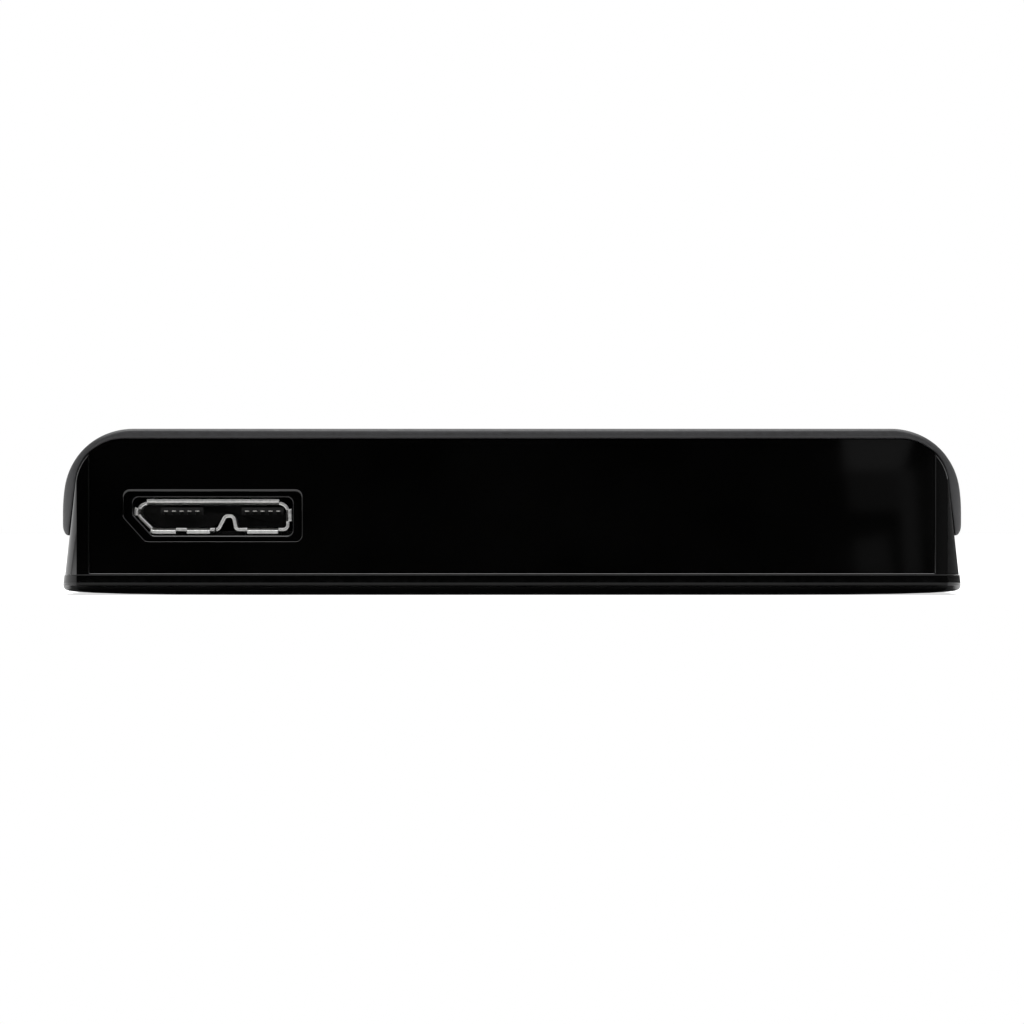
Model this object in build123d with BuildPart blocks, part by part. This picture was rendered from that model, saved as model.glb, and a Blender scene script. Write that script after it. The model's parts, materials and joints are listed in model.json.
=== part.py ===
"""Portable external hard drive: a slim case round a single-platter disk drive.

Millimetres, +Z up. The origin lies under the middle of the case, on the surface that it
rests on, and the end with the data socket faces -Y. The case is worked out from the disk
drive that it holds, and the drive from its platter.
"""

from build123d import *
import os
from math import acos, asin, atan2, cos, degrees, pi, radians, sin, sqrt, tan

os.makedirs("parts", exist_ok=True)

# Platter and spindle
platter_d = 65.0
platter_bore = 20.0
platter_t = 0.8
platter_lift = 2.5  # platter above the deck
head_room = 2.5  # platter to drive cover
rim_clear = 0.9  # platter rim to casting
hub_flange = 2.5  # hub flange and clamp outside the bore
flange_t = 0.8
hub_lift = 0.4  # turning parts above the deck and the bearing
hub_fit = 0.03
clamp_t = 0.5
clamp_head_r = 2.0
clamp_head_h = 0.4
clamp_shank_r = 0.9
clamp_shank_l = 2.2
shaft_r = 1.5
shaft_clear = 0.06
bearing_wall = 1.6
bearing_end_t = 0.4
magnet_ring_t = 1.0
magnet_poles = 12  # flat magnets in a ring
magnet_step = 0.4  # rotor magnet inside the flange's rim
stator_lift = 0.35
stator_teeth = 9
stator_ring_t = 1.4
tooth_w = 1.0
tooth_tip_w = 2.2
tooth_tip_t = 0.6
air_gap = 0.4  # stator to rotor magnet
winding_t = 0.5

# Drive casting and cover
drive_wall = 1.525
deck_h = 3.0
drive_cover_t = 0.7
drive_corner = 2.0
gasket_t = 0.3
gasket_edge = 0.25
gasket_w = 0.9
bay_chamfer = 6.0
front_block = 6.6  # solid front of the casting, notched for the plug
cover_setback = 4.0
cover_edge = 0.4
cover_recess_w = 52.0
cover_recess_d = 0.2
breather_r = 0.9
screw_head_r = 1.6
screw_head_h = 0.35
screw_shank_r = 0.8
screw_l = 3.2
screw_inset = 4.0
screw_fit = 0.05
screw_side_count = 8  # small screws and their holes, which repeat, are cut with flats
side_hole_r = 1.25
side_hole_depth = 3.0
side_hole_front = 14.0
side_hole_pitch = 76.6
side_hole_h = 3.0

# Actuator and its magnets
pivot_standoff = 9.5  # pivot axis beyond the platter rim
arm_reach = 36.5  # pivot axis to heads
park_margin = 1.0  # parked heads beyond the platter rim
inner_track_r = 14.5
post_r = 2.0
pivot_clear = 0.06
pivot_wall = 1.7
arm_hub_wall = 2.2
arm_lift = 0.35
arm_root_w = 9.0
arm_end_w = 4.2
arm_end = 26.0
arm_window_l = 9.0
arm_window_w = 2.0
finger_t = 0.9
sheet_t = 0.1
slider_t = 0.25
slider_w = 1.0
slider_l = 1.25
fly_gap = 0.1
sheet_start = 20.0
sheet_w = 3.6
sheet_tip_w = 1.1
tab_l = 2.0
tab_w = 0.8
coil_t = 1.6
coil_bend = 25.0
coil_half_turn = 19.0
coil_in = 9.0
coil_out = 16.8
coil_band = 2.2
fork_w = 4.5
fork_gap = 0.6
yoke_r = 18.0
yoke_in = 7.8
yoke_side_clear = 0.6
yoke_front_clear = 1.37
yoke_cover_gap = 0.1
yoke_post_r = 1.1
yoke_post_turn = 9.0
yoke_end_turn = 6.0
magnet_t = 0.8
magnet_margin = 1.2
coil_gap = 0.35
ramp_gap = 0.05
ramp_root = 2.6
ramp_turn = 7.0
ramp_back_turn = 3.0
ramp_clear = 0.8  # ramp to the bay's wall
ribbon_r = 7.5
ribbon_t = 0.2
ribbon_w = 3.0
ribbon_gap = 0.4
bracket_l = 8.5
bracket_w = 4.0
bracket_h = 4.6
filter_l = 9.0
filter_w = 2.4
filter_h = 4.8

# Logic board under the casting
logic_t = 0.8
logic_sink = 0.25
logic_half_w = 31.0
logic_l = 46.0
logic_front = 0.3
logic_clear = 0.2
chip_room = 1.1
chip_t = 0.9
main_chip_w = 10.0
main_chip_back = 4.0
memory_chip_l = 8.0
memory_chip_w = 10.0
motor_chip_w = 7.0
side_chip_x = 14.0  # memory and motor chips either side of the main one
side_chip_back = 2.0

# Drive plug and bridge receptacle
plug_x = -2.0
plug_h = 3.0  # middle of the plug's tongue above the drive's underside
plug_half_w = 18.2
plug_depth = 5.3
plug_back_t = 1.0
tongue_t = 1.2
tongue_tip = 0.6
signal_w = 9.6
power_w = 19.6
key_gap = 2.4
pin_pitch = 1.27
pin_w = 0.8
pin_t = 0.1
signal_pins = 7
power_pins = 15
nose_half_h = 1.75
nose_side = 0.6
nose_reach = 3.9
mate_clear = 0.15
notch_clear = 0.4
receptacle_d = 3.2
receptacle_half_h = 2.4
receptacle_gap = 0.2
straddle = 2.0

# Bridge board
bridge_t = 0.8
board_gap = 0.3  # board to front wall
board_side_gap = 1.4
board_end = 3.4
board_clear = 0.35
peg_w = 1.6
peg_fit = 0.1
boss_w = 3.2
boss_inset = 2.6
boss_spread = 14.0
bridge_chip_w = 7.0
bridge_chip_t = 0.85
bridge_chip_x = 4.0
firmware_chip_l = 4.9
firmware_chip_w = 3.9
firmware_chip_t = 1.4
firmware_chip_x = 11.5
firmware_back = 1.2
crystal_l = 3.2
crystal_w = 2.5
crystal_t = 0.7
crystal_x = 4.0
passive_l = 1.6
passive_w = 0.8
passive_t = 0.7
passive_x = 9.5
passive_pitch_x = 2.2
passive_pitch_y = 1.8

# Data socket
socket_w = 12.2
socket_h = 1.93
shell_t = 0.3
shell_l = 5.2
shell_end_r = 0.6
shell_corner_cut = 1.15
shell_side_h = 0.9
key_x = 1.6
key_h = 1.0
key_top_w = 0.55
key_run = 1.1
flare = 0.22
flare_l = 0.7
roof_lip_inset = 1.5
floor_lip_inset = 0.8
tongue_plate_t = 0.6
tongue_top_gap = 0.25
tongue_half_w = 1.75
tongue_left = -2.57
tongue_side_gap = 0.2
tongue_set_back = 1.0
tongue_block_t = 1.1
insulator_fit = 0.05
contact_pitch = 0.65
contact_w = 0.38
contact_t = 0.08
contacts_each = 5

# Case
side_clear = 0.3
floor_t = 1.2
pad_low = 0.7
pad_high = 1.6
pad_fit = 0.03
lid_t = 0.8
lid_gap = 0.08
lid_corner_r = 6.0
lid_side_r = 14.0
lid_plan_r = 4.0
wing_t = 0.92
wing_drop = 3.4  # seam to the cover's lower edge
belly_rise = 1.45
corner_step = 2.0
frame_wall = 0.95
side_draft = 8.1
side_wall_drop = 3.7
corner_r = 2.0
seam_z = 1.55
seam_gap = 0.12
bevel_h = 0.7
bevel_run = 4.0
rim_edge = 0.25
panel_inset = 0.25
panel_t = 1.2
panel_fit = 0.05
panel_margin = 0.83
panel_edge = 0.1
panel_tab_l = 0.8
tab_long = 5.0
front_wall = 1.0
bridge_bay = 12.7
rear_gap = 2.0
rear_wall = 1.6
socket_edge = 2.93  # panel edge to the recess
recess_d = 0.9
ledge_d = 0.35
rim_w = 0.16
rim_h = 0.2
ledge_w = 0.73
ledge_h = 0.5
recess_cut_w = 1.8
recess_cut_h = 2.0
recess_r = 0.7
window_clear = 0.3
rib_t = 0.7
rib_h = 0.8
rib_fit = 0.12
snap_l = 6.0
snap_h = 0.9
snap_d = 0.5
snap_fit = 0.15
snap_pitch = 36.0
bumper_w = 8.0
bumper_inset = 4.5
bumper_lap = 6.0
bumper_front_t = 1.6
stop_t = 1.2
stop_h = 6.0
pipe_l = 2.4
pipe_w = 1.2
pipe_fit = 0.06
led_w = 1.6
led_d = 0.8
led_h = 0.6
led_gap = 0.3

# Drive: levels and places
platter_r = platter_d / 2
well_r = platter_r + rim_clear
drive_half = well_r + drive_wall
pivot_distance = platter_r + pivot_standoff
pivot_x = well_r - yoke_side_clear - yoke_r
pivot_dy = sqrt(pivot_distance**2 - pivot_x**2)
drive_length = drive_half + pivot_dy + yoke_r + yoke_front_clear + front_block
drive_h = deck_h + platter_lift + platter_t + head_room + drive_cover_t
front_stack = panel_inset + panel_t + panel_fit + front_wall
case_length = front_stack + bridge_bay + drive_length + rear_gap + rear_wall
case_h = floor_t + pad_low + drive_h + pad_high + lid_t
front_y = -case_length / 2
rear_y = case_length / 2
wall_y = front_y + front_stack  # inner face of the front wall
drive_front = wall_y + bridge_bay
drive_rear = drive_front + drive_length
spindle_y = drive_rear - drive_half
pivot_y = spindle_y - pivot_dy
bay_front = drive_front + front_block
drive_z = floor_t + pad_low
deck_z = drive_z + deck_h
low_z = deck_z + platter_lift
top_z = low_z + platter_t
cover_z = top_z + head_room
drive_top = cover_z + drive_cover_t
wall_top = cover_z - gasket_t
pocket_z = drive_z + logic_sink + logic_t + chip_room
ramp_r = arm_reach + tab_l + 1.25 * ramp_root  # far side of the ramp
bay_left = ramp_r - pivot_x + ramp_clear
spindle = (0, spindle_y)
pivot = (pivot_x, pivot_y)
bore_r = platter_bore / 2
flange_r = bore_r + hub_flange
flange_z = low_z - flange_t
hub_high = top_z - clamp_t / 4
bearing_r = shaft_r + shaft_clear + bearing_wall
rotor_r = flange_r - magnet_step - magnet_ring_t
stator_r = rotor_r * cos(pi / magnet_poles) - air_gap
stator_z = deck_z + stator_lift
stator_t = flange_z - hub_lift - winding_t / 2 - stator_z


def swing_angle(radius):
    """Angle at the pivot between the spindle and heads at this radius."""
    sides = pivot_distance**2 + arm_reach**2 - radius**2
    return degrees(acos(sides / (2 * pivot_distance * arm_reach)))


to_spindle = degrees(atan2(pivot_dy, -pivot_x))
parked = to_spindle + swing_angle(platter_r + park_margin)
swing = swing_angle(platter_r + park_margin) - swing_angle(inner_track_r)
coil_axis = parked + 180 - coil_bend
yoke_axis = coil_axis - swing / 2

# Case: levels and places
lid_inner = case_h - lid_t
inner_half = drive_half + side_clear
side_top = lid_inner - side_wall_drop
lid_low = seam_z + wing_drop
belly_z = lid_low + belly_rise
frame_low = seam_z + seam_gap
frame_top = lid_inner - lid_gap
frame_corner_r = lid_corner_r - corner_step


def side_x(z):
    """Half width of the drafted side at a height."""
    return inner_half + frame_wall + (side_top - z) * tan(radians(side_draft))


lid_half = side_x(belly_z) + wing_t
panel_half = side_x(side_top) - panel_margin
panel_y = front_y + panel_inset
plug_z = drive_z + plug_h
bridge_z = plug_z - bridge_t / 2
bridge_top = bridge_z + bridge_t
shell_half_w = socket_w / 2 + shell_t
shell_half_h = socket_h / 2 + shell_t
rim_half_w = shell_half_w + flare + rim_w
rim_half_h = shell_half_h + flare + rim_h
socket_x = -(panel_half - socket_edge - ledge_w - rim_half_w)
socket_z = bridge_top + shell_half_h
tongue_right = socket_w / 2 - tongue_side_gap - tongue_half_w
mouth_y = panel_y + recess_d + panel_fit
board_front = wall_y + board_gap
receptacle_y = drive_front - receptacle_gap - receptacle_d
receptacle_half_w = plug_half_w + nose_side
board_rear = drive_front - bumper_front_t - stop_t - board_clear
board_left = -(inner_half - board_side_gap)
board_right = plug_x + receptacle_half_w + board_end
boss_y = board_front + boss_inset
boss_points = [(plug_x - boss_spread, boss_y), (plug_x + boss_spread, boss_y)]
led_x = board_right - board_end / 2
led_y = boss_y + boss_w / 2 + led_d
bumper_x = drive_half - bumper_inset - bumper_w / 2
screw_points = [
    (-drive_half + screw_inset, drive_rear - screw_inset),
    (drive_half - screw_inset, drive_rear - screw_inset),
    (-drive_half + screw_inset, bay_front + screw_inset / 2),
    (drive_half - screw_inset, bay_front + screw_inset / 2),
    pivot,
]
logic_rear = drive_front + logic_l


def save(piece, name):
    """Label a finished piece and write its file."""
    piece.part.label = name
    export_step(piece.part, f"parts/{name}.step")


def screw_disc(radius, mode=Mode.ADD):
    """Outline of a small screw or its hole."""
    return RegularPolygon(radius, screw_side_count, mode=mode)


def across(y):
    """Plane facing the socket end at a depth, drawn in x and z."""
    return Plane.XZ.offset(-y)


def case_block(low, high):
    """Length of the drafted case between two heights, with rounded corners."""
    with BuildPart() as block:
        with BuildSketch(across(rear_y)):
            Polygon(
                (-side_x(low), low),
                (side_x(low), low),
                (side_x(high), high),
                (-side_x(high), high),
                align=None,
            )
        extrude(amount=case_length)
        fillet(block.edges().filter_by(Plane.XZ).filter_by(Axis.X, reverse=True), corner_r)
    return block.part


def arch_outline(low, grow):
    """End wall outline under the cover, drafted sides and rounded shoulders."""
    high = frame_top + grow
    with BuildSketch() as arch:
        Polygon(
            (-side_x(low) - grow, low),
            (side_x(low) + grow, low),
            (side_x(high) + grow, high),
            (-side_x(high) - grow, high),
            align=None,
        )
        fillet(arch.vertices().group_by(Axis.Y)[-1], frame_corner_r + grow)
    return arch.sketch


def sector(start, end, inner, outer, centre=pivot):
    """Ring sector round a centre, the actuator's pivot unless another is given."""
    with BuildSketch() as slice_of_ring:
        with BuildLine():
            far = CenterArc(centre, outer, start, end - start)
            near = CenterArc(centre, inner, start, end - start)
            Line(far @ 0, near @ 0)
            Line(far @ 1, near @ 1)
        make_face()
    return slice_of_ring.sketch


def drive_outline(half_w, front, rear):
    """Outline of the casting or its cover, with cut corners."""
    with BuildSketch() as outline:
        with Locations((0, (front + rear) / 2)):
            Rectangle(2 * half_w, rear - front)
        chamfer(outline.vertices(), drive_corner)
    return outline.sketch


def cavity_outline(grow):
    """Platter well and actuator bay of the casting, widened by grow."""
    radius = well_r + grow
    left = bay_left + grow
    front = bay_front - grow
    reach = (yoke_r + yoke_side_clear + grow) * sqrt(2) + pivot_x - pivot_y
    with BuildSketch() as cavity:
        with BuildLine():
            well = CenterArc(spindle, radius, 0, 180 + degrees(acos(left / radius)))
            Polyline(
                well @ 1,
                (-left, front + bay_chamfer),
                (-left + bay_chamfer, front),
                (reach + front, front),
                (radius, radius - reach),
                well @ 0,
            )
        make_face()
    return cavity.sketch


def opening_outline(grow):
    """Keyed opening of the data socket, seen from outside, widened by grow."""
    half_w = socket_w / 2 + grow
    half_h = socket_h / 2 + grow
    with BuildSketch() as opening:
        Polygon(
            (socket_x - half_w, socket_z + half_h),
            (socket_x + half_w, socket_z + half_h),
            (socket_x + half_w, socket_z - half_h),
            (socket_x + key_x - grow, socket_z - half_h),
            (socket_x + key_x - grow, socket_z - half_h + key_h),
            (socket_x + key_x - key_top_w + grow, socket_z - half_h + key_h),
            (socket_x + key_x - key_top_w - key_run + grow, socket_z - half_h),
            (socket_x - half_w + shell_corner_cut, socket_z - half_h),
            (socket_x - half_w, socket_z + half_h - shell_side_h - 2 * grow),
            align=None,
        )
        fillet(opening.vertices().group_by(Axis.Y)[-1], shell_end_r)
    return opening.sketch


def recess_outline(half_w, half_h, cut_w, cut_h):
    """Socket recess: a rounded oblong with its lower left corner cut."""
    with BuildSketch() as recess:
        Polygon(
            (socket_x - half_w, socket_z - half_h + cut_h),
            (socket_x - half_w + cut_w, socket_z - half_h),
            (socket_x + half_w, socket_z - half_h),
            (socket_x + half_w, socket_z + half_h),
            (socket_x - half_w, socket_z + half_h),
            align=None,
        )
        fillet(recess.vertices(), recess_r)
    return recess.sketch


# Case

with BuildPart() as top_cover:
    shoulder_z = case_h - lid_corner_r
    side_centre_x = lid_half - lid_side_r
    shoulder_rise = shoulder_z - belly_z
    shoulder_run = sqrt((lid_side_r - lid_corner_r) ** 2 - shoulder_rise**2)
    shoulder_x = side_centre_x + shoulder_run
    join = degrees(atan2(shoulder_rise, shoulder_run))
    low_turn = degrees(asin((belly_z - lid_low) / lid_side_r))
    with BuildSketch(across(rear_y)) as saddle:
        with BuildLine():
            shoulder = CenterArc((shoulder_x, shoulder_z), lid_corner_r, 90, join - 90)
            wing = CenterArc((side_centre_x, belly_z), lid_side_r, join, -join - low_turn)
            Polyline(shoulder @ 0, (0, case_h), (0, lid_low), wing @ 1)
        make_face()
        mirror(about=Plane.YZ)
    extrude(amount=case_length)
    with BuildSketch(Plane.XY.offset(lid_low)):
        RectangleRounded(2 * lid_half, case_length, lid_plan_r)
    extrude(amount=case_h - lid_low, mode=Mode.INTERSECT)
    with BuildSketch(across(rear_y)):
        add(arch_outline(lid_low, lid_gap))
    extrude(amount=case_length, mode=Mode.SUBTRACT)
    snap_z = (belly_z + side_top) / 2
    for side in (-1, 1):
        with BuildSketch(Plane.YZ.offset(side * (side_x(snap_z) + wing_t / 2))):
            with GridLocations(snap_pitch, 1, 3, 1):
                with Locations((0, snap_z)):
                    Rectangle(snap_l, snap_h)
        extrude(amount=-side * (wing_t / 2 + snap_d))
    with BuildSketch(Plane.XY.offset(lid_inner)):
        with Locations((led_x, led_y)):
            Rectangle(pipe_l + 2 * pipe_fit, pipe_w + 2 * pipe_fit)
    extrude(amount=lid_t, mode=Mode.SUBTRACT)
save(top_cover, "top_cover")

with BuildPart() as case_frame:
    add(case_block(frame_low, case_h))
    with BuildSketch(across(rear_y)):
        add(arch_outline(frame_low, 0))
    extrude(amount=case_length, mode=Mode.INTERSECT)
    inside_l = rear_y - rear_wall - wall_y
    inside_mid = (rear_y - rear_wall + wall_y) / 2
    with BuildSketch(Plane.XY.offset(frame_low)):
        with Locations((0, inside_mid)):
            Rectangle(2 * inner_half, inside_l)
    extrude(amount=case_h, mode=Mode.SUBTRACT)
    with BuildSketch(Plane.XY.offset(side_top)):
        with Locations((0, inside_mid)):
            Rectangle(3 * inner_half, inside_l)
    extrude(amount=case_h, mode=Mode.SUBTRACT)
    with BuildSketch(across(front_y)):
        with Locations((0, case_h / 2)):
            Rectangle(2 * (panel_half + panel_fit), case_h)
    extrude(amount=-(front_stack - front_wall), mode=Mode.SUBTRACT)
    with BuildSketch(across(wall_y)):
        with Locations((socket_x, socket_z)):
            Rectangle(2 * (rim_half_w + window_clear), 2 * (rim_half_h + window_clear))
        with Locations((panel_half / 4, socket_z), (panel_half * 3 / 4, socket_z)):
            Rectangle(tab_long + 2 * peg_fit, peg_w + 2 * peg_fit)
    extrude(amount=front_wall, mode=Mode.SUBTRACT)
    rib_x = (inner_half + side_x(frame_low)) / 2
    rib_y = rear_y - rear_wall / 2
    with BuildSketch(Plane.XY.offset(frame_low)):
        with Locations((-rib_x, inside_mid), (rib_x, inside_mid)):
            Rectangle(rib_t + 2 * rib_fit, inside_l)
        with Locations((0, rib_y)):
            Rectangle(2 * inner_half, rib_t + 2 * rib_fit)
    extrude(amount=rib_h + rib_fit - seam_gap, mode=Mode.SUBTRACT)
    with BuildSketch(Plane.YZ.offset(-lid_half)):
        with GridLocations(snap_pitch, 1, 3, 1):
            with Locations((0, snap_z)):
                Rectangle(snap_l + 2 * snap_fit, snap_h + 2 * snap_fit)
    extrude(amount=2 * lid_half, mode=Mode.SUBTRACT)
save(case_frame, "case_frame")

with BuildPart() as end_panel:
    with BuildSketch(across(panel_y + panel_t)):
        add(arch_outline(frame_low, 0))
        with Locations((0, case_h / 2)):
            Rectangle(2 * panel_half, case_h, mode=Mode.INTERSECT)
    extrude(amount=panel_t)
    with BuildSketch(across(panel_y)):
        add(recess_outline(rim_half_w + ledge_w, rim_half_h + ledge_h, recess_cut_w, recess_cut_h))
    extrude(amount=-ledge_d, mode=Mode.SUBTRACT)
    with BuildSketch(across(panel_y + ledge_d)):
        rim_cut = recess_cut_w * rim_half_w / (rim_half_w + ledge_w)
        add(recess_outline(rim_half_w, rim_half_h, rim_cut, recess_cut_h - ledge_h / 2))
    extrude(amount=-panel_t, mode=Mode.SUBTRACT)
    chamfer(end_panel.faces().sort_by(Axis.Y)[0].outer_wire().edges(), panel_edge)
    with BuildSketch(across(panel_y + panel_t)):
        with Locations((panel_half / 4, socket_z), (panel_half * 3 / 4, socket_z)):
            Rectangle(tab_long, peg_w)
    extrude(amount=-(panel_fit + panel_tab_l))
save(end_panel, "end_panel")

with BuildPart() as bottom_cover:
    add(case_block(0, seam_z))
    edge_x = side_x(bevel_h)
    with BuildSketch(across(rear_y)):
        Polygon(
            (-edge_x + bevel_run, 0),
            (edge_x - bevel_run, 0),
            (edge_x + rim_edge, bevel_h),
            (edge_x + rim_edge, seam_z),
            (-edge_x - rim_edge, seam_z),
            (-edge_x - rim_edge, bevel_h),
            align=None,
        )
    extrude(amount=case_length, mode=Mode.INTERSECT)
    with BuildSketch(Plane.YZ.offset(-lid_half)):
        Polygon(
            (front_y + bevel_run, 0),
            (rear_y - bevel_run, 0),
            (rear_y, bevel_h),
            (rear_y, seam_z),
            (front_y, seam_z),
            (front_y, bevel_h),
            align=None,
        )
    extrude(amount=2 * lid_half, mode=Mode.INTERSECT)
    with BuildSketch(Plane.XY.offset(floor_t)):
        with Locations((0, inside_mid)):
            Rectangle(2 * inner_half, inside_l)
    extrude(amount=seam_z - floor_t, mode=Mode.SUBTRACT)
    with BuildSketch(Plane.XY.offset(seam_z)):
        with Locations((-rib_x, inside_mid), (rib_x, inside_mid)):
            Rectangle(rib_t, inside_l - 2 * rib_fit)
        with Locations((0, rib_y)):
            Rectangle(2 * inner_half - 2 * rib_fit, rib_t)
    extrude(amount=rib_h)
    with BuildSketch(Plane.XY.offset(floor_t)):
        with Locations(*boss_points):
            Rectangle(boss_w, boss_w)
    extrude(amount=bridge_z - floor_t)
    with BuildSketch(Plane.XY.offset(bridge_z)):
        with Locations(*boss_points):
            Rectangle(peg_w, peg_w)
    extrude(amount=bridge_t + peg_w / 2)
    stop_y = drive_front - bumper_front_t - stop_t / 2 - pad_fit
    with BuildSketch(Plane.XY.offset(floor_t)):
        with Locations((-bumper_x, stop_y), (bumper_x, stop_y)):
            Rectangle(bumper_w, stop_t)
    extrude(amount=stop_h)
save(bottom_cover, "bottom_cover")

with BuildPart() as light_pipe:
    with BuildSketch(Plane.XY.offset(bridge_top + led_h + led_gap)):
        with Locations((led_x, led_y)):
            Rectangle(pipe_l, pipe_w)
    extrude(amount=case_h - bridge_top - led_h - led_gap)
save(light_pipe, "light_pipe")

bumper_spots = {
    "bumper_front_left": (-bumper_x, drive_front - bumper_front_t, drive_front, bumper_lap),
    "bumper_front_right": (bumper_x, drive_front - bumper_front_t, drive_front, bumper_lap),
    "bumper_rear_left": (-bumper_x, rear_y - rear_wall - pad_fit, drive_rear, -bumper_lap),
    "bumper_rear_right": (bumper_x, rear_y - rear_wall - pad_fit, drive_rear, -bumper_lap),
}
for name, (middle_x, outer_y, drive_end, lap) in bumper_spots.items():
    with BuildPart() as bumper:
        with BuildSketch(Plane.YZ.offset(middle_x - bumper_w / 2)):
            Polygon(
                (outer_y, floor_t),
                (drive_end + lap, floor_t),
                (drive_end + lap, drive_z - pad_fit),
                (drive_end, drive_z - pad_fit),
                (drive_end, drive_top + pad_fit),
                (drive_end + lap, drive_top + pad_fit),
                (drive_end + lap, lid_inner - pad_fit),
                (outer_y, lid_inner - pad_fit),
                align=None,
            )
        extrude(amount=bumper_w)
    save(bumper, name)

# Bridge board and data socket

with BuildPart() as bridge_board:
    with BuildSketch(Plane.XY.offset(bridge_z)):
        Polygon(
            (board_left, board_front),
            (board_right, board_front),
            (board_right, board_rear),
            (plug_x + receptacle_half_w, board_rear),
            (plug_x + receptacle_half_w, receptacle_y + straddle - panel_fit),
            (plug_x - receptacle_half_w, receptacle_y + straddle - panel_fit),
            (plug_x - receptacle_half_w, board_rear),
            (board_left, board_rear),
            align=None,
        )
        with Locations(*boss_points):
            Rectangle(peg_w + 2 * peg_fit, peg_w + 2 * peg_fit, mode=Mode.SUBTRACT)
    extrude(amount=bridge_t)
save(bridge_board, "bridge_board")


def chip(name, x, y, base_z, length, width, height):
    """Flat component with bevelled upper edges, standing on a board."""
    with BuildPart() as component:
        with BuildSketch(Plane.XY.offset(base_z)):
            with Locations((x, y)):
                Rectangle(length, width)
        extrude(amount=height)
        chamfer(component.faces().sort_by(Axis.Z)[-1].edges(), height / 8)
    save(component, name)


board_mid = (board_front + board_rear) / 2
bridge_x = plug_x + bridge_chip_x
firmware_x = plug_x + firmware_chip_x
firmware_y = board_mid + firmware_back
chip("bridge_chip", bridge_x, board_mid, bridge_top, bridge_chip_w, bridge_chip_w, bridge_chip_t)
chip("firmware_chip", firmware_x, firmware_y, bridge_top, firmware_chip_l, firmware_chip_w, firmware_chip_t)
chip("clock_crystal", plug_x - crystal_x, board_mid, bridge_top, crystal_l, crystal_w, crystal_t)
chip("activity_led", led_x, led_y, bridge_top, led_w, led_d, led_h)

with BuildPart() as board_passives:
    with BuildSketch(Plane.XY.offset(bridge_top)):
        with Locations((plug_x - passive_x, board_mid)):
            with GridLocations(passive_pitch_x, passive_pitch_y, 3, 4):
                Rectangle(passive_l, passive_w)
    extrude(amount=passive_t)
save(board_passives, "board_passives")

with BuildPart() as socket_shell:
    with BuildSketch(across(mouth_y)) as folded:
        half_w = shell_half_w
        half_h = shell_half_h
        with BuildLine():
            Polyline(
                (socket_x - half_w, socket_z + half_h),
                (socket_x + half_w, socket_z + half_h),
                (socket_x + half_w, socket_z - half_h),
                (socket_x + key_x - shell_t, socket_z - half_h),
                (socket_x + key_x - shell_t, socket_z - half_h + key_h / 2),
                (socket_x + key_x - key_top_w - key_run + shell_t, socket_z - half_h),
                (socket_x - half_w + shell_corner_cut, socket_z - half_h),
                (socket_x - half_w, socket_z + half_h - shell_t - shell_side_h),
                close=True,
            )
        make_face()
        fillet(folded.vertices().group_by(Axis.Y)[-1], shell_end_r + shell_t)
    extrude(amount=-shell_l)
    with BuildSketch(across(mouth_y)):
        add(opening_outline(0))
    extrude(amount=-shell_l, mode=Mode.SUBTRACT)
    lip_roof = socket_z + shell_half_h
    lip_floor = socket_z - shell_half_h
    key_left = socket_x + key_x - key_top_w - key_run
    floor_left = socket_x - shell_half_w + shell_corner_cut
    floor_mid = (floor_left + key_left) / 2
    roof_lip_half = shell_half_w - roof_lip_inset
    lips = [
        (socket_x - roof_lip_half, socket_x + roof_lip_half, lip_roof, 1),
        (floor_left, floor_mid - shell_t, lip_floor, -1),
        (floor_mid + shell_t, key_left, lip_floor, -1),
        (socket_x + key_x + shell_t, socket_x + shell_half_w - floor_lip_inset, lip_floor, -1),
    ]
    for left_x, right_x, z, way in lips:
        with BuildSketch(Plane.YZ.offset(left_x)):
            Polygon(
                (mouth_y, z + way * flare),
                (mouth_y + flare_l, z),
                (mouth_y + flare_l, z - way * shell_t),
                (mouth_y, z - way * (shell_t - flare)),
                align=None,
            )
        extrude(amount=right_x - left_x)
save(socket_shell, "socket_shell")

with BuildPart() as socket_tongue:
    tongue_high = socket_z + socket_h / 2 - tongue_top_gap
    tongue_low = tongue_high - tongue_plate_t
    block_y = mouth_y + shell_l - tongue_block_t
    with BuildSketch(across(block_y)):
        add(opening_outline(-insulator_fit))
    extrude(amount=-tongue_block_t)
    with BuildSketch(across(block_y)):
        for group in (tongue_left, tongue_right):
            with Locations((socket_x + group, (tongue_low + tongue_high) / 2)):
                Rectangle(2 * tongue_half_w, tongue_plate_t)
    extrude(amount=block_y - mouth_y - tongue_set_back)
save(socket_tongue, "socket_tongue")

with BuildPart() as socket_contacts:
    tip_y = mouth_y + tongue_set_back
    for group in (tongue_left, tongue_right):
        first_x = socket_x + group - (contacts_each - 1) / 2 * contact_pitch - contact_w / 2
        for count in range(contacts_each):
            with BuildSketch(Plane.YZ.offset(first_x + count * contact_pitch)):
                Polygon(
                    (tip_y - contact_t, tongue_high - contact_t),
                    (tip_y - contact_t, tongue_low - contact_t),
                    (block_y, tongue_low - contact_t),
                    (block_y, tongue_low),
                    (tip_y, tongue_low),
                    (tip_y, tongue_high - contact_t),
                    align=None,
                )
            extrude(amount=contact_w)
save(socket_contacts, "socket_contacts")

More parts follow.
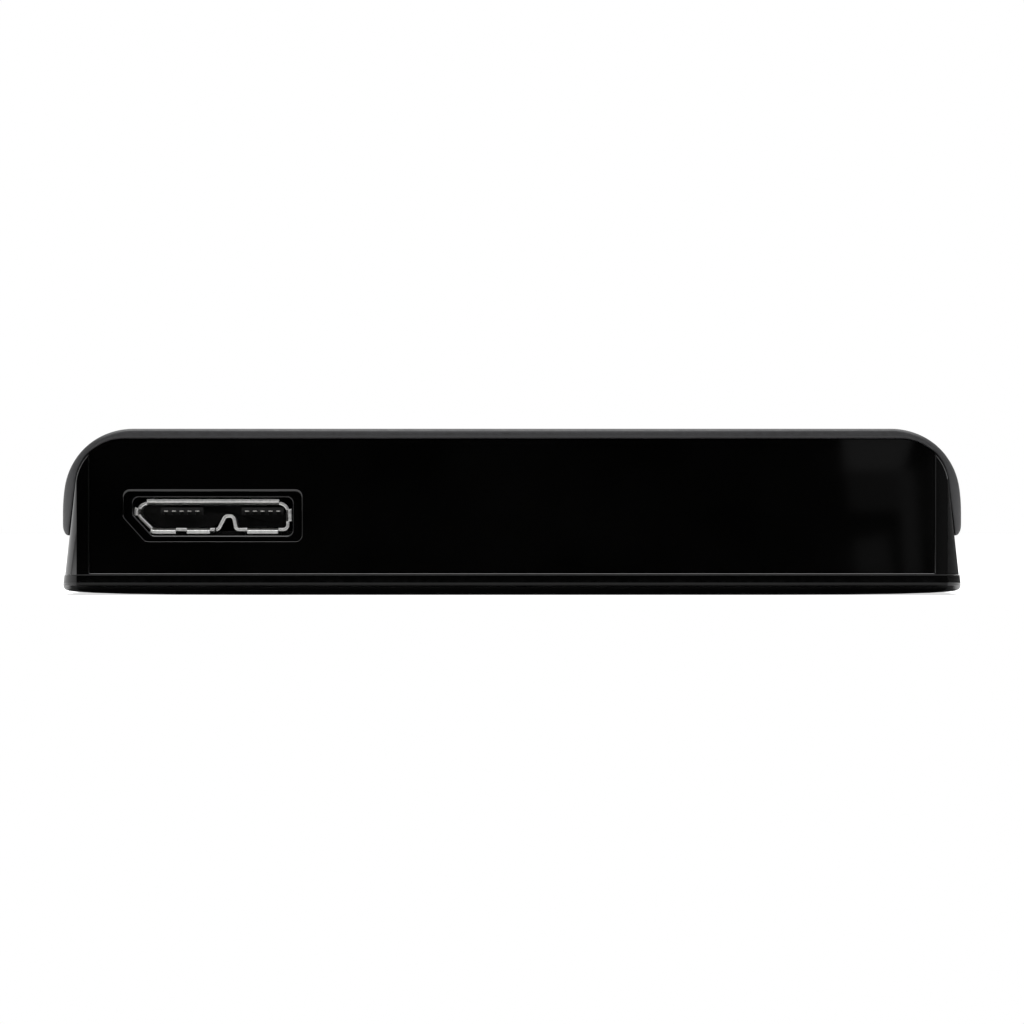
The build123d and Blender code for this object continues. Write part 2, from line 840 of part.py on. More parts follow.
with BuildPart() as bridge_receptacle:
    with BuildSketch(across(receptacle_y)):
        with Locations((plug_x, plug_z)):
            Rectangle(2 * receptacle_half_w, 2 * receptacle_half_h)
    extrude(amount=-receptacle_d)
    with BuildSketch(across(receptacle_y)):
        with Locations((plug_x, plug_z)):
            Rectangle(2 * receptacle_half_w, bridge_t + 2 * panel_fit)
    extrude(amount=-straddle, mode=Mode.SUBTRACT)
    with BuildSketch(across(receptacle_y + receptacle_d)):
        with Locations((plug_x, plug_z)):
            Rectangle(2 * (plug_half_w - mate_clear), 2 * nose_half_h)
    extrude(amount=-(receptacle_gap + nose_reach))
    with BuildSketch(across(drive_front + nose_reach)):
        tongue_w = signal_w + key_gap + power_w
        with Locations((plug_x - (tongue_w - signal_w) / 2, plug_z)):
            Rectangle(signal_w + 2 * mate_clear, tongue_t + 2 * (mate_clear + pin_t))
        with Locations((plug_x + (tongue_w - power_w) / 2, plug_z)):
            Rectangle(power_w + 2 * mate_clear, tongue_t + 2 * (mate_clear + pin_t))
    extrude(amount=nose_reach - tongue_tip + mate_clear, mode=Mode.SUBTRACT)
save(bridge_receptacle, "bridge_receptacle")

# Drive casting, cover and boards


def logic_outline(grow):
    """Logic board, or its pocket when widened by grow."""
    front = drive_front + logic_front - grow
    with BuildSketch() as logic:
        with Locations((0, (front + logic_rear + grow) / 2)):
            Rectangle(2 * (logic_half_w + grow), logic_rear + grow - front)
    return logic.sketch


with BuildPart() as drive_base:
    with BuildSketch(Plane.XY.offset(drive_z)):
        add(drive_outline(drive_half, drive_front, drive_rear))
    extrude(amount=wall_top - drive_z)
    with BuildSketch(Plane.XY.offset(deck_z)):
        add(cavity_outline(0))
    extrude(amount=wall_top - deck_z, mode=Mode.SUBTRACT)
    with BuildSketch(Plane.XY.offset(drive_z)):
        add(logic_outline(logic_clear + logic_front))
    extrude(amount=pocket_z - drive_z, mode=Mode.SUBTRACT)
    with BuildSketch(Plane.XY.offset(deck_z)):
        with Locations(spindle):
            RegularPolygon(bearing_r + stator_ring_t / 2, stator_teeth)
    extrude(amount=stator_lift)
    with BuildSketch(Plane.XY.offset(deck_z)):
        with Locations(spindle):
            Circle(bearing_r)
    extrude(amount=flange_z - hub_lift - deck_z)
    with BuildSketch(Plane.XY.offset(drive_z + bearing_end_t)):
        with Locations(spindle):
            Circle(shaft_r + shaft_clear)
    extrude(amount=drive_h, mode=Mode.SUBTRACT)
    with BuildSketch(Plane.XY.offset(pocket_z)):
        with Locations(pivot):
            Circle(post_r + hub_fit)
    extrude(amount=drive_h, mode=Mode.SUBTRACT)
    with BuildSketch(across(drive_front)):
        with Locations((plug_x, drive_z + (plug_h + nose_half_h + notch_clear) / 2)):
            Rectangle(2 * (plug_half_w + notch_clear), plug_h + nose_half_h + notch_clear)
    extrude(amount=-(plug_depth + mate_clear), mode=Mode.SUBTRACT)
    with BuildSketch(Plane.XY.offset(wall_top)):
        with Locations(*screw_points[:-1]):
            screw_disc(screw_shank_r + screw_fit)
    extrude(amount=-screw_l, mode=Mode.SUBTRACT)
    for side in (-1, 1):
        with BuildSketch(Plane.YZ.offset(side * drive_half)):
            with Locations((drive_front + side_hole_front + side_hole_pitch / 2, drive_z + side_hole_h)):
                with GridLocations(side_hole_pitch, 1, 2, 1):
                    screw_disc(side_hole_r)
        extrude(amount=-side * side_hole_depth, mode=Mode.SUBTRACT)
save(drive_base, "drive_base")

with BuildPart() as cover_gasket:
    with BuildSketch(Plane.XY.offset(wall_top)):
        add(cavity_outline(gasket_edge + gasket_w))
    extrude(amount=gasket_t)
    with BuildSketch(Plane.XY.offset(wall_top)):
        add(cavity_outline(gasket_edge))
    extrude(amount=gasket_t, mode=Mode.SUBTRACT)
save(cover_gasket, "cover_gasket")

with BuildPart() as drive_cover:
    with BuildSketch(Plane.XY.offset(cover_z)):
        add(drive_outline(drive_half - cover_edge, drive_front + cover_setback, drive_rear - cover_edge))
        with Locations((-pivot_x, pivot_y)):
            screw_disc(breather_r, Mode.SUBTRACT)
        with Locations(*screw_points):
            screw_disc(screw_shank_r + screw_fit, Mode.SUBTRACT)
    extrude(amount=drive_cover_t)
    with BuildSketch(Plane.XY.offset(drive_top)):
        with Locations(*screw_points):
            screw_disc(screw_head_r + 2 * screw_fit)
    extrude(amount=-screw_head_h - screw_fit, mode=Mode.SUBTRACT)
    with BuildSketch(Plane.XY.offset(drive_top)):
        with Locations(spindle):
            Rectangle(cover_recess_w, cover_recess_w)
    extrude(amount=-cover_recess_d, mode=Mode.SUBTRACT)
save(drive_cover, "drive_cover")

with BuildPart() as cover_screws:
    with BuildSketch(Plane.XY.offset(drive_top - screw_head_h - screw_fit)):
        with Locations(*screw_points):
            screw_disc(screw_head_r)
    extrude(amount=screw_head_h)
    with BuildSketch(Plane.XY.offset(drive_top - screw_head_h - screw_fit)):
        with Locations(*screw_points):
            screw_disc(screw_shank_r)
    extrude(amount=-screw_l)
save(cover_screws, "cover_screws")

with BuildPart() as logic_board:
    with BuildSketch(Plane.XY.offset(drive_z + logic_sink)):
        add(logic_outline(0))
    extrude(amount=logic_t)
save(logic_board, "logic_board")

logic_top = drive_z + logic_sink + logic_t
logic_mid = (bay_front + logic_rear) / 2
side_chip_y = logic_mid - side_chip_back
chip("main_chip", plug_x, logic_mid - main_chip_back, logic_top, main_chip_w, main_chip_w, chip_t)
chip("memory_chip", plug_x - side_chip_x, side_chip_y, logic_top, memory_chip_l, memory_chip_w, chip_t)
chip("motor_chip", plug_x + side_chip_x, side_chip_y, logic_top, motor_chip_w, motor_chip_w, chip_t)

with BuildPart() as drive_plug:
    back_y = drive_front + plug_depth - plug_back_t
    with BuildSketch(across(back_y)):
        with Locations((plug_x, (logic_top + plug_z + nose_half_h) / 2)):
            Rectangle(2 * plug_half_w, plug_z + nose_half_h - logic_top)
    extrude(amount=-plug_back_t)
    with BuildSketch(across(back_y)):
        with Locations((plug_x - (tongue_w - signal_w) / 2, plug_z)):
            Rectangle(signal_w, tongue_t)
        with Locations((plug_x + (tongue_w - power_w) / 2, plug_z)):
            Rectangle(power_w, tongue_t)
    extrude(amount=back_y - drive_front - tongue_tip)
save(drive_plug, "drive_plug")

with BuildPart() as plug_contacts:
    with BuildSketch(Plane.XY.offset(plug_z - tongue_t / 2)):
        pin_y = (drive_front + tongue_tip + back_y) / 2
        pin_l = back_y - drive_front - 2 * tongue_tip
        with Locations((plug_x - (tongue_w - signal_w) / 2, pin_y)):
            with GridLocations(pin_pitch, 1, signal_pins, 1):
                Rectangle(pin_w, pin_l)
        with Locations((plug_x + (tongue_w - power_w) / 2, pin_y)):
            with GridLocations(pin_pitch, 1, power_pins, 1):
                Rectangle(pin_w, pin_l)
    extrude(amount=-pin_t)
save(plug_contacts, "plug_contacts")

# Spindle motor and platter

with BuildPart() as stator_core:
    with BuildSketch(Plane.XY.offset(stator_z)):
        with Locations(spindle):
            RegularPolygon(bearing_r + hub_fit + stator_ring_t, stator_teeth)
            with PolarLocations((bearing_r + stator_r) / 2, stator_teeth):
                Rectangle(stator_r - bearing_r - tooth_tip_t, tooth_w)
            with PolarLocations(stator_r - tooth_tip_t, stator_teeth):
                Rectangle(tooth_tip_t, tooth_tip_w)
            Circle(bearing_r + hub_fit, mode=Mode.SUBTRACT)
    extrude(amount=stator_t)
save(stator_core, "stator_core")

with BuildPart() as stator_coils:
    winding_in = bearing_r + hub_fit + stator_ring_t + winding_t / 2
    winding_out = stator_r - 2 * tooth_tip_t
    winding_mid = (winding_in + winding_out) / 2
    with BuildSketch(Plane.XY.offset(stator_z - winding_t / 2)):
        with Locations(spindle):
            with PolarLocations(winding_mid, stator_teeth):
                Rectangle(winding_out - winding_in, tooth_w + winding_t)
    extrude(amount=stator_t + winding_t)
    with BuildSketch(Plane.XY.offset(stator_z)):
        with Locations(spindle):
            with PolarLocations(winding_mid, stator_teeth):
                Rectangle(winding_out, tooth_w)
    extrude(amount=stator_t, mode=Mode.SUBTRACT)
save(stator_coils, "stator_coils")

with BuildPart() as spindle_hub:
    with BuildSketch(Plane.XZ):
        with BuildLine():
            Polyline(
                (0, hub_high),
                (bore_r - hub_fit, hub_high),
                (bore_r - hub_fit, low_z),
                (flange_r, low_z),
                (flange_r, flange_z),
                (shaft_r, flange_z),
                (shaft_r, drive_z + 2 * bearing_end_t),
                (0, drive_z + 2 * bearing_end_t),
                close=True,
            )
        make_face()
    revolve(axis=Axis.Z)
    with BuildSketch(Plane.XY.offset(hub_high)):
        screw_disc(clamp_shank_r + hub_fit)
    extrude(amount=-clamp_shank_l, mode=Mode.SUBTRACT)
spindle_hub.part.position = (0, spindle_y, 0)
save(spindle_hub, "spindle_hub")

with BuildPart() as rotor_magnet:
    with BuildSketch(Plane.XY.offset(deck_z + hub_lift)):
        with Locations(spindle):
            RegularPolygon(rotor_r + magnet_ring_t, magnet_poles)
            RegularPolygon(rotor_r, magnet_poles, mode=Mode.SUBTRACT)
    extrude(amount=flange_z - deck_z - hub_lift)
save(rotor_magnet, "rotor_magnet")

with BuildPart() as platter:
    with BuildSketch(Plane.XY.offset(low_z)):
        with Locations(spindle):
            Circle(platter_r)
            Circle(bore_r, mode=Mode.SUBTRACT)
    extrude(amount=platter_t)
save(platter, "platter")

with BuildPart() as platter_clamp:
    with BuildSketch(Plane.XY.offset(top_z)):
        with Locations(spindle):
            Circle(flange_r)
            screw_disc(clamp_shank_r + hub_fit, Mode.SUBTRACT)
    extrude(amount=clamp_t)
save(platter_clamp, "platter_clamp")

with BuildPart() as clamp_screw:
    with BuildSketch(Plane.XY.offset(top_z + clamp_t)):
        with Locations(spindle):
            screw_disc(clamp_head_r)
    extrude(amount=clamp_head_h)
    with BuildSketch(Plane.XY.offset(top_z + clamp_t)):
        with Locations(spindle):
            screw_disc(clamp_shank_r)
    extrude(amount=-clamp_t - clamp_shank_l)
save(clamp_screw, "clamp_screw")

# Actuator

arm_low = deck_z + arm_lift
arm_high = cover_z - arm_lift
stack_t = fly_gap + slider_t + sheet_t
pivot_in_r = post_r + pivot_clear
pivot_out_r = pivot_in_r + pivot_wall
arm_hub_r = pivot_out_r + hub_fit + arm_hub_wall
coil_mid = (deck_z + cover_z) / 2
coil_low = coil_mid - coil_t / 2
along_arm = (cos(radians(parked)), sin(radians(parked)), 0)
finger_levels = (low_z - stack_t - finger_t, top_z + stack_t)


def arm_plane(z):
    """Plane at a height with its x axis from the pivot along the parked arm."""
    return Plane(origin=(pivot_x, pivot_y, z), x_dir=along_arm, z_dir=(0, 0, 1))


with BuildPart() as pivot_post:
    with BuildSketch(Plane.XY.offset(pocket_z)):
        with Locations(pivot):
            Circle(post_r)
    extrude(amount=cover_z - pocket_z)
    with BuildSketch(Plane.XY.offset(cover_z)):
        with Locations(pivot):
            screw_disc(screw_shank_r + screw_fit)
    extrude(amount=-screw_l, mode=Mode.SUBTRACT)
save(pivot_post, "pivot_post")

with BuildPart() as pivot_sleeve:
    with BuildSketch(Plane.XY.offset(arm_low)):
        with Locations(pivot):
            Circle(pivot_out_r)
            Circle(pivot_in_r, mode=Mode.SUBTRACT)
    extrude(amount=arm_high - arm_low)
save(pivot_sleeve, "pivot_sleeve")

with BuildPart() as actuator_arm:
    with BuildSketch(arm_plane(arm_low)):
        RegularPolygon(arm_hub_r, 8)
    extrude(amount=arm_high - arm_low)
    for level in finger_levels:
        with BuildSketch(arm_plane(level)):
            Polygon(
                (0, -arm_root_w / 2),
                (arm_end, -arm_end_w / 2),
                (arm_end, arm_end_w / 2),
                (0, arm_root_w / 2),
                align=None,
            )
            with Locations(((arm_hub_r + arm_end) / 2, 0)):
                Trapezoid(arm_window_l, arm_window_w, 80, mode=Mode.SUBTRACT)
        extrude(amount=finger_t)
    with BuildSketch(Plane.XY.offset(coil_low)):
        fork = degrees(fork_gap / coil_in)
        add(sector(coil_axis - coil_half_turn - fork - fork_w, coil_axis + coil_half_turn + fork + fork_w,
                   pivot_out_r, coil_in - hub_fit))
        add(sector(coil_axis - coil_half_turn - fork - fork_w, coil_axis - coil_half_turn - fork,
                   pivot_out_r, coil_out))
        add(sector(coil_axis + coil_half_turn + fork, coil_axis + coil_half_turn + fork + fork_w,
                   pivot_out_r, coil_out))
    extrude(amount=coil_t)
    with BuildSketch(Plane.XY.offset(arm_low)):
        with Locations(pivot):
            Circle(pivot_out_r + hub_fit)
    extrude(amount=arm_high - arm_low, mode=Mode.SUBTRACT)
save(actuator_arm, "actuator_arm")

with BuildPart() as voice_coil:
    hole = degrees(coil_band / coil_in)
    with BuildSketch(Plane.XY.offset(coil_low)):
        add(sector(coil_axis - coil_half_turn, coil_axis + coil_half_turn, coil_in, coil_out))
    extrude(amount=coil_t)
    with BuildSketch(Plane.XY.offset(coil_low)):
        add(sector(coil_axis - coil_half_turn + hole, coil_axis + coil_half_turn - hole,
                   coil_in + coil_band, coil_out - coil_band))
    extrude(amount=coil_t, mode=Mode.SUBTRACT)
save(voice_coil, "voice_coil")

head_faces = {"lower_head": (low_z, -1), "upper_head": (top_z, 1)}
for name, (surface, away) in head_faces.items():
    with BuildPart() as head:
        with BuildSketch(arm_plane(surface + away * (fly_gap + slider_t))):
            Polygon(
                (sheet_start, -sheet_w / 2),
                (arm_end, -sheet_w / 2),
                (arm_reach - slider_l, -sheet_tip_w / 2),
                (arm_reach + slider_l / 2, -sheet_tip_w / 2),
                (arm_reach + slider_l / 2, -tab_w / 2),
                (arm_reach + tab_l, -tab_w / 2),
                (arm_reach + tab_l, tab_w / 2),
                (arm_reach + slider_l / 2, tab_w / 2),
                (arm_reach + slider_l / 2, sheet_tip_w / 2),
                (arm_reach - slider_l, sheet_tip_w / 2),
                (arm_end, sheet_w / 2),
                (sheet_start, sheet_w / 2),
                align=None,
            )
        extrude(amount=away * sheet_t)
        with BuildSketch(arm_plane(surface + away * fly_gap)):
            with Locations((arm_reach, 0)):
                Rectangle(slider_l, slider_w)
        extrude(amount=away * slider_t)
    save(head, name)

# Magnets, ramp and small parts on the deck

yoke_half = swing / 2 + coil_half_turn + fork + fork_w + yoke_post_turn
low_magnet_z = coil_low - coil_gap - magnet_t
high_magnet_z = coil_low + coil_t + coil_gap
yoke_mid_r = (yoke_in + yoke_r) / 2

with BuildPart() as lower_yoke:
    with BuildSketch(Plane.XY.offset(deck_z)):
        add(sector(yoke_axis - yoke_half - yoke_end_turn, yoke_axis + yoke_half + yoke_end_turn,
                   yoke_in, yoke_r))
    extrude(amount=low_magnet_z - deck_z)
    with BuildSketch(Plane.XY.offset(low_magnet_z)):
        with Locations(pivot):
            with PolarLocations(yoke_mid_r, 2, yoke_axis - yoke_half, 4 * yoke_half):
                screw_disc(yoke_post_r)
    extrude(amount=high_magnet_z + magnet_t - low_magnet_z)
save(lower_yoke, "lower_yoke")

with BuildPart() as upper_yoke:
    with BuildSketch(Plane.XY.offset(high_magnet_z + magnet_t)):
        add(sector(yoke_axis - yoke_half - yoke_end_turn, yoke_axis + yoke_half + yoke_end_turn,
                   yoke_in, yoke_r))
    extrude(amount=cover_z - yoke_cover_gap - high_magnet_z - magnet_t)
save(upper_yoke, "upper_yoke")

for name, base_z in (("lower_magnet", low_magnet_z), ("upper_magnet", high_magnet_z)):
    with BuildPart() as magnet:
        with BuildSketch(Plane.XY.offset(base_z)):
            add(sector(yoke_axis - swing / 2 - coil_half_turn, yoke_axis + swing / 2 + coil_half_turn,
                       yoke_in + magnet_margin, yoke_r - magnet_margin))
        extrude(amount=magnet_t)
    save(magnet, name)

with BuildPart() as load_ramp:
    finger_in = arm_reach + slider_l
    finger_out = ramp_r - ramp_root
    with BuildSketch(Plane.XY.offset(deck_z)):
        add(sector(parked - ramp_back_turn, parked + ramp_turn, finger_out, ramp_r))
    extrude(amount=low_z - deck_z)
    under = low_z - stack_t + sheet_t + ramp_gap
    over = top_z + stack_t - sheet_t - ramp_gap
    with BuildSketch(Plane.XY.offset(under)):
        add(sector(parked - ramp_back_turn, parked + ramp_turn, finger_in, ramp_r))
    extrude(amount=over - under)
    with BuildSketch(Plane.XY.offset(deck_z)):
        with Locations(spindle):
            Circle(well_r)
    extrude(amount=drive_h, mode=Mode.SUBTRACT)
save(load_ramp, "load_ramp")

ribbon_turn = radians(to_spindle + 100)
ribbon_end_x = pivot_x + (arm_hub_r + ribbon_gap) * cos(ribbon_turn)
ribbon_end_y = pivot_y + (arm_hub_r + ribbon_gap) * sin(ribbon_turn)
ribbon_centre = (ribbon_end_x - ribbon_r, ribbon_end_y)
bracket_y = ribbon_end_y - ribbon_r

with BuildPart() as flex_circuit:
    with BuildSketch(Plane.XY.offset(deck_z)):
        with Locations((ribbon_centre[0] - bracket_l / 2, bracket_y)):
            Rectangle(bracket_l, bracket_w)
    extrude(amount=bracket_h)
    with BuildSketch(Plane.XY.offset(deck_z + bracket_h - ribbon_w)):
        add(sector(-90, 0, ribbon_r - ribbon_t, ribbon_r, ribbon_centre))
    extrude(amount=ribbon_w)
save(flex_circuit, "flex_circuit")

with BuildPart() as air_filter:
    with BuildSketch(Plane.XY.offset(deck_z)):
        with Locations((-bay_left + bay_chamfer + filter_l / 2, bay_front + filter_w)):
            Rectangle(filter_l, filter_w)
    extrude(amount=filter_h)
save(air_filter, "air_filter")
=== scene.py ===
"""Looks of a portable hard drive: a matte saddle cover over a gloss frame, with a data socket.

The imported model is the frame. The pieces that show are built here around it, finer than the
solids that they stand for. The pieces inside keep their solids and get materials.
"""

import json
import math
from typing import NamedTuple

import bmesh
import bpy
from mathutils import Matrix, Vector

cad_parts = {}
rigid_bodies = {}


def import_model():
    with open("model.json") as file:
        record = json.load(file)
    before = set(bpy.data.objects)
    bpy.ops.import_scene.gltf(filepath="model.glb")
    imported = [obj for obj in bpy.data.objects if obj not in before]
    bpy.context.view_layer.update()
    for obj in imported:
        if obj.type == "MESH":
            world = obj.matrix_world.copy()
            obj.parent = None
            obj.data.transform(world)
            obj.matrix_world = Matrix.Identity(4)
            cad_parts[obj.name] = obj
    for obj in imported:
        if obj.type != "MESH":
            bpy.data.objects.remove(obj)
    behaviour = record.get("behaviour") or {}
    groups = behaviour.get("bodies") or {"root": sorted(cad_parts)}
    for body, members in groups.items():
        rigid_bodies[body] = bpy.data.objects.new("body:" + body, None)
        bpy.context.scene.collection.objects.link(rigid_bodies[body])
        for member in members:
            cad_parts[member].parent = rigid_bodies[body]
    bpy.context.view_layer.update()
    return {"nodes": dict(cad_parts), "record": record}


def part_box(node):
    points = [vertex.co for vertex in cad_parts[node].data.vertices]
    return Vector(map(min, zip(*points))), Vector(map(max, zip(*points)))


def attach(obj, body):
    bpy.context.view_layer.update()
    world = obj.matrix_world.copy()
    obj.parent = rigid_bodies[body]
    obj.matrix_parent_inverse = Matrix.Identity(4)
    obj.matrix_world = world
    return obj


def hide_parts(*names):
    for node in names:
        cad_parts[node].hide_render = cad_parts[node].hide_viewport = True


bl_info = {
    "name": "Portable Hard Drive",
    "version": (1, 0, 0),
    "blender": (4, 5, 0),
    "location": "View3D > Sidebar > Drive",
    "description": "Builds the case, the data socket and the finishes of a portable hard drive",
    "category": "Object",
}

for leftover in list(bpy.data.objects):
    bpy.data.objects.remove(leftover)

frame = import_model()
NODES = frame["nodes"]
MM = 0.001
RIGHT_ANGLE = math.pi / 2
CASE = "enclosure"

COVER_LOW, COVER_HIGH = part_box("top_cover")
FRAME_LOW, FRAME_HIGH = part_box("case_frame")
PANEL_LOW, PANEL_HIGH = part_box("end_panel")
SHELL_LOW, SHELL_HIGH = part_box("socket_shell")
CONTACTS_LOW, CONTACTS_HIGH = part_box("socket_contacts")
PIPE_LOW, PIPE_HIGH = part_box("light_pipe")
PLATTER_LOW, PLATTER_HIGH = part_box("platter")
SOCKET = next(Vector(m["pos_m"]) for m in frame["record"]["mounts"] if m["name"] == "data_socket")
# Past the side and above the top of the case, for what cuts right through it
PAST_SIDE = COVER_HIGH.x + MM
ABOVE = COVER_HIGH.z + MM


def millimetres(title, about, size):
    """Length property, given in millimetres and held in metres."""
    return bpy.props.FloatProperty(
        name=title, description=about, default=size * MM, min=0.0, unit="LENGTH", precision=5
    )


# Finishes


class Finish(NamedTuple):
    """Look of a material.

    Grain and relief are in mm, rough is the least and the most roughness, stretch draws out the
    grain along x, y and z, and constants are further inputs of the shader.
    """

    name: str
    dark: str
    light: str
    grain: float
    rough: tuple
    relief: float
    stretch: tuple = (1, 1, 1)
    metallic: int = 0
    constants: dict = {}


FINISHES = {
    # Moulded ABS with spark-eroded grain: dull, with a fine sparkle where light grazes it.
    # The grain is drawn at about four times its size, to show
    "matte_charcoal": Finish("Spark-grained ABS", "#232324", "#2c2c2e", 0.4, (0.5, 0.62), 0.012),
    # ABS from a polished mould: black and mirror-like, with the slow waviness of moulded sheet
    "gloss_black": Finish(
        "Polished ABS", "#020202", "#040404", 9.0, (0.02, 0.04), 0.0003, constants={"IOR": 1.57}
    ),
    # ABS from a stoned mould: darker and smoother than the cover
    "satin_black": Finish(
        "Satin ABS", "#020202", "#040404", 0.5, (0.05, 0.08), 0.0003, constants={"Specular IOR Level": 0.22}
    ),
    # Frosted acrylic: milky, so that its end spreads the light
    "clear_acrylic": Finish(
        "Frosted acrylic", "#84888a", "#8d9193", 0.3, (0.3, 0.36), 0.001, (1, 1, 4),
        constants={"Transmission Weight": 0.15, "IOR": 1.49},
    ),
    # Moulded silicone: dusty black with a soft pebbled skin
    "soft_rubber": Finish("Moulded silicone rubber", "#141414", "#1e1e1e", 0.5, (0.7, 0.85), 0.02),
    # Tin over rolled steel strip: bright, with fine lines along the rolling direction
    "tinned_steel": Finish(
        "Tinned steel strip", "#c4c4c2", "#d6d6d4", 0.25, (0.3, 0.4), 0.0005, (1, 8, 1), metallic=1
    ),
    # Glass-filled nylon: black, with paler flow marks of the glass
    "black_nylon": Finish(
        "Glass-filled nylon", "#101010", "#191919", 0.3, (0.5, 0.6), 0.003, (1, 3, 1),
        constants={"Specular IOR Level": 0.2},
    ),
    # Bright plate over bronze: pale and clean, with faint lines along the strip
    "plated_bronze": Finish(
        "Plated bronze", "#a9a8a5", "#c6c5c2", 0.3, (0.22, 0.34), 0.0005, (1, 5, 1), metallic=1
    ),
    # Black solder mask on laminate: half gloss, raised over the copper
    "solder_mask": Finish("Solder mask on laminate", "#070808", "#0d0f0e", 0.5, (0.25, 0.4), 0.004),
    # Moulded epoxy: near black with a fine matt skin
    "chip_epoxy": Finish("Moulded epoxy", "#18181a", "#222225", 0.15, (0.55, 0.7), 0.004),
    # Fired ceramic: buff and slightly speckled
    "chip_ceramic": Finish("Fired ceramic", "#6d5a41", "#8a7352", 0.2, (0.4, 0.55), 0.003),
    # Cast epoxy lens: milky
    "led_lens": Finish("Cast epoxy lens", "#dfe6ea", "#f1f5f7", 0.3, (0.15, 0.25), 0.0),
    # Die-cast aluminium: grey with the cloudy skin of the die
    "cast_aluminium": Finish(
        "Die-cast aluminium", "#989b9e", "#aaadb0", 0.6, (0.4, 0.52), 0.008, metallic=1
    ),
    # Rolled stainless sheet: fine straight lines along its length
    "stamped_steel": Finish(
        "Rolled stainless steel", "#a3a5a7", "#c3c5c7", 0.3, (0.26, 0.38), 0.002, (1, 14, 1), metallic=1
    ),
    # Turned steel: fine lines round its axis
    "machined_steel": Finish(
        "Turned steel", "#8e9093", "#b7b9bc", 0.25, (0.2, 0.32), 0.002, (1, 1, 6), metallic=1
    ),
    # Enamelled copper wire: reddish, banded by its turns
    "copper_wire": Finish(
        "Enamelled copper wire", "#7a3a17", "#c07038", 0.3, (0.25, 0.4), 0.02, (1, 1, 5), metallic=1
    ),
    # Sputtered glass disk: a near perfect mirror
    "disk_mirror": Finish("Sputtered disk", "#93969a", "#9ea1a5", 6.0, (0.02, 0.05), 0.0, metallic=1),
    # Bright nickel plate: warm grey and clean
    "nickel_plate": Finish("Nickel plate", "#a5a19a", "#c4c0b8", 0.9, (0.14, 0.24), 0.001, metallic=1),
    # Moulded acetal: milky white and slippery
    "white_acetal": Finish("Moulded acetal", "#d9d8d2", "#ebeae4", 0.7, (0.3, 0.4), 0.003),
    # Needled felt: pale fibres
    "filter_felt": Finish("Needled felt", "#b9b8b2", "#e2e1db", 0.2, (0.85, 0.95), 0.05, (1, 4, 1)),
    # Polyimide film: amber and glossy
    "amber_film": Finish("Polyimide film", "#96530f", "#a45e17", 0.6, (0.18, 0.28), 0.001, (6, 1, 1)),
}


class Pattern(NamedTuple):
    """Texture that a finish shows besides its grain, and the size of one repeat in mm."""

    kind: str
    settings: dict
    inputs: dict
    repeat: float


# Scale at which a wave texture repeats once in each unit
ONE_WAVE = math.pi / 10
BANDS = {"wave_type": "BANDS", "bands_direction": "Z"}
RINGS = {"wave_type": "RINGS", "rings_direction": "Z"}
TRACKS = {"Scale": 1.0, "Mortar Size": 0.12, "Mortar Smooth": 0.2, "Brick Width": 5.0, "Row Height": 1.0}
PATTERNS = {
    # Turns of 0.1 mm wire side by side, drawn at twice their width to show
    "copper_wire": Pattern("TexWave", BANDS, {"Scale": ONE_WAVE, "Distortion": 0.4}, 0.2),
    # Lapping marks round the disk, drawn a quarter of a millimetre apart to show
    "disk_mirror": Pattern("TexWave", RINGS, {"Scale": ONE_WAVE}, 0.25),
    # Copper tracks that stand up under the mask, in rows about twice as wide as real ones
    "solder_mask": Pattern("TexBrick", {"offset": 0.4}, TRACKS, 0.6),
    # Turning marks round the axis, a little coarser than real ones
    "machined_steel": Pattern("TexWave", BANDS, {"Scale": ONE_WAVE, "Distortion": 1.5}, 0.12),
}


# Spans of the grain over which the colour and the gloss change
TINT_SPAN = (0.35, 0.65)
GLOSS_SPAN = (0.3, 0.7)


def linear(code):
    """Linear colour of an sRGB hex value."""
    channels = [int(code[at : at + 2], 16) / 255 for at in (1, 3, 5)]
    return [c / 12.92 if c <= 0.04045 else ((c + 0.055) / 1.055) ** 2.4 for c in channels] + [1.0]


def add_node(tree, kind, inputs=(), **settings):
    """Adds a node with its settings, and sets or links its inputs."""
    node = tree.nodes.new("ShaderNode" + kind)
    for key, value in settings.items():
        setattr(node, key, value)
    for key, value in dict(inputs).items():
        if isinstance(value, bpy.types.NodeSocket):
            tree.links.new(value, node.inputs[key])
        else:
            node.inputs[key].default_value = value
    return node


def patterned(tree, pattern, place, grain):
    """Grain mixed half and half with a pattern that is centred on the disk."""
    centre = PLATTER_LOW.lerp(PLATTER_HIGH, 0.5)
    repeat = [pattern.repeat * MM] * 3
    spaced = add_node(
        tree, "Mapping", {"Vector": place, "Location": centre, "Scale": repeat}, vector_type="TEXTURE"
    )
    marks = add_node(
        tree, pattern.kind, {"Vector": spaced.outputs["Vector"], **pattern.inputs}, **pattern.settings
    )
    half = add_node(tree, "Math", {0: grain, 1: 0.5}, operation="MULTIPLY")
    mixed = add_node(
        tree, "Math", {0: marks.outputs["Fac"], 1: 0.5, 2: half.outputs[0]}, operation="MULTIPLY_ADD"
    )
    return mixed.outputs[0]


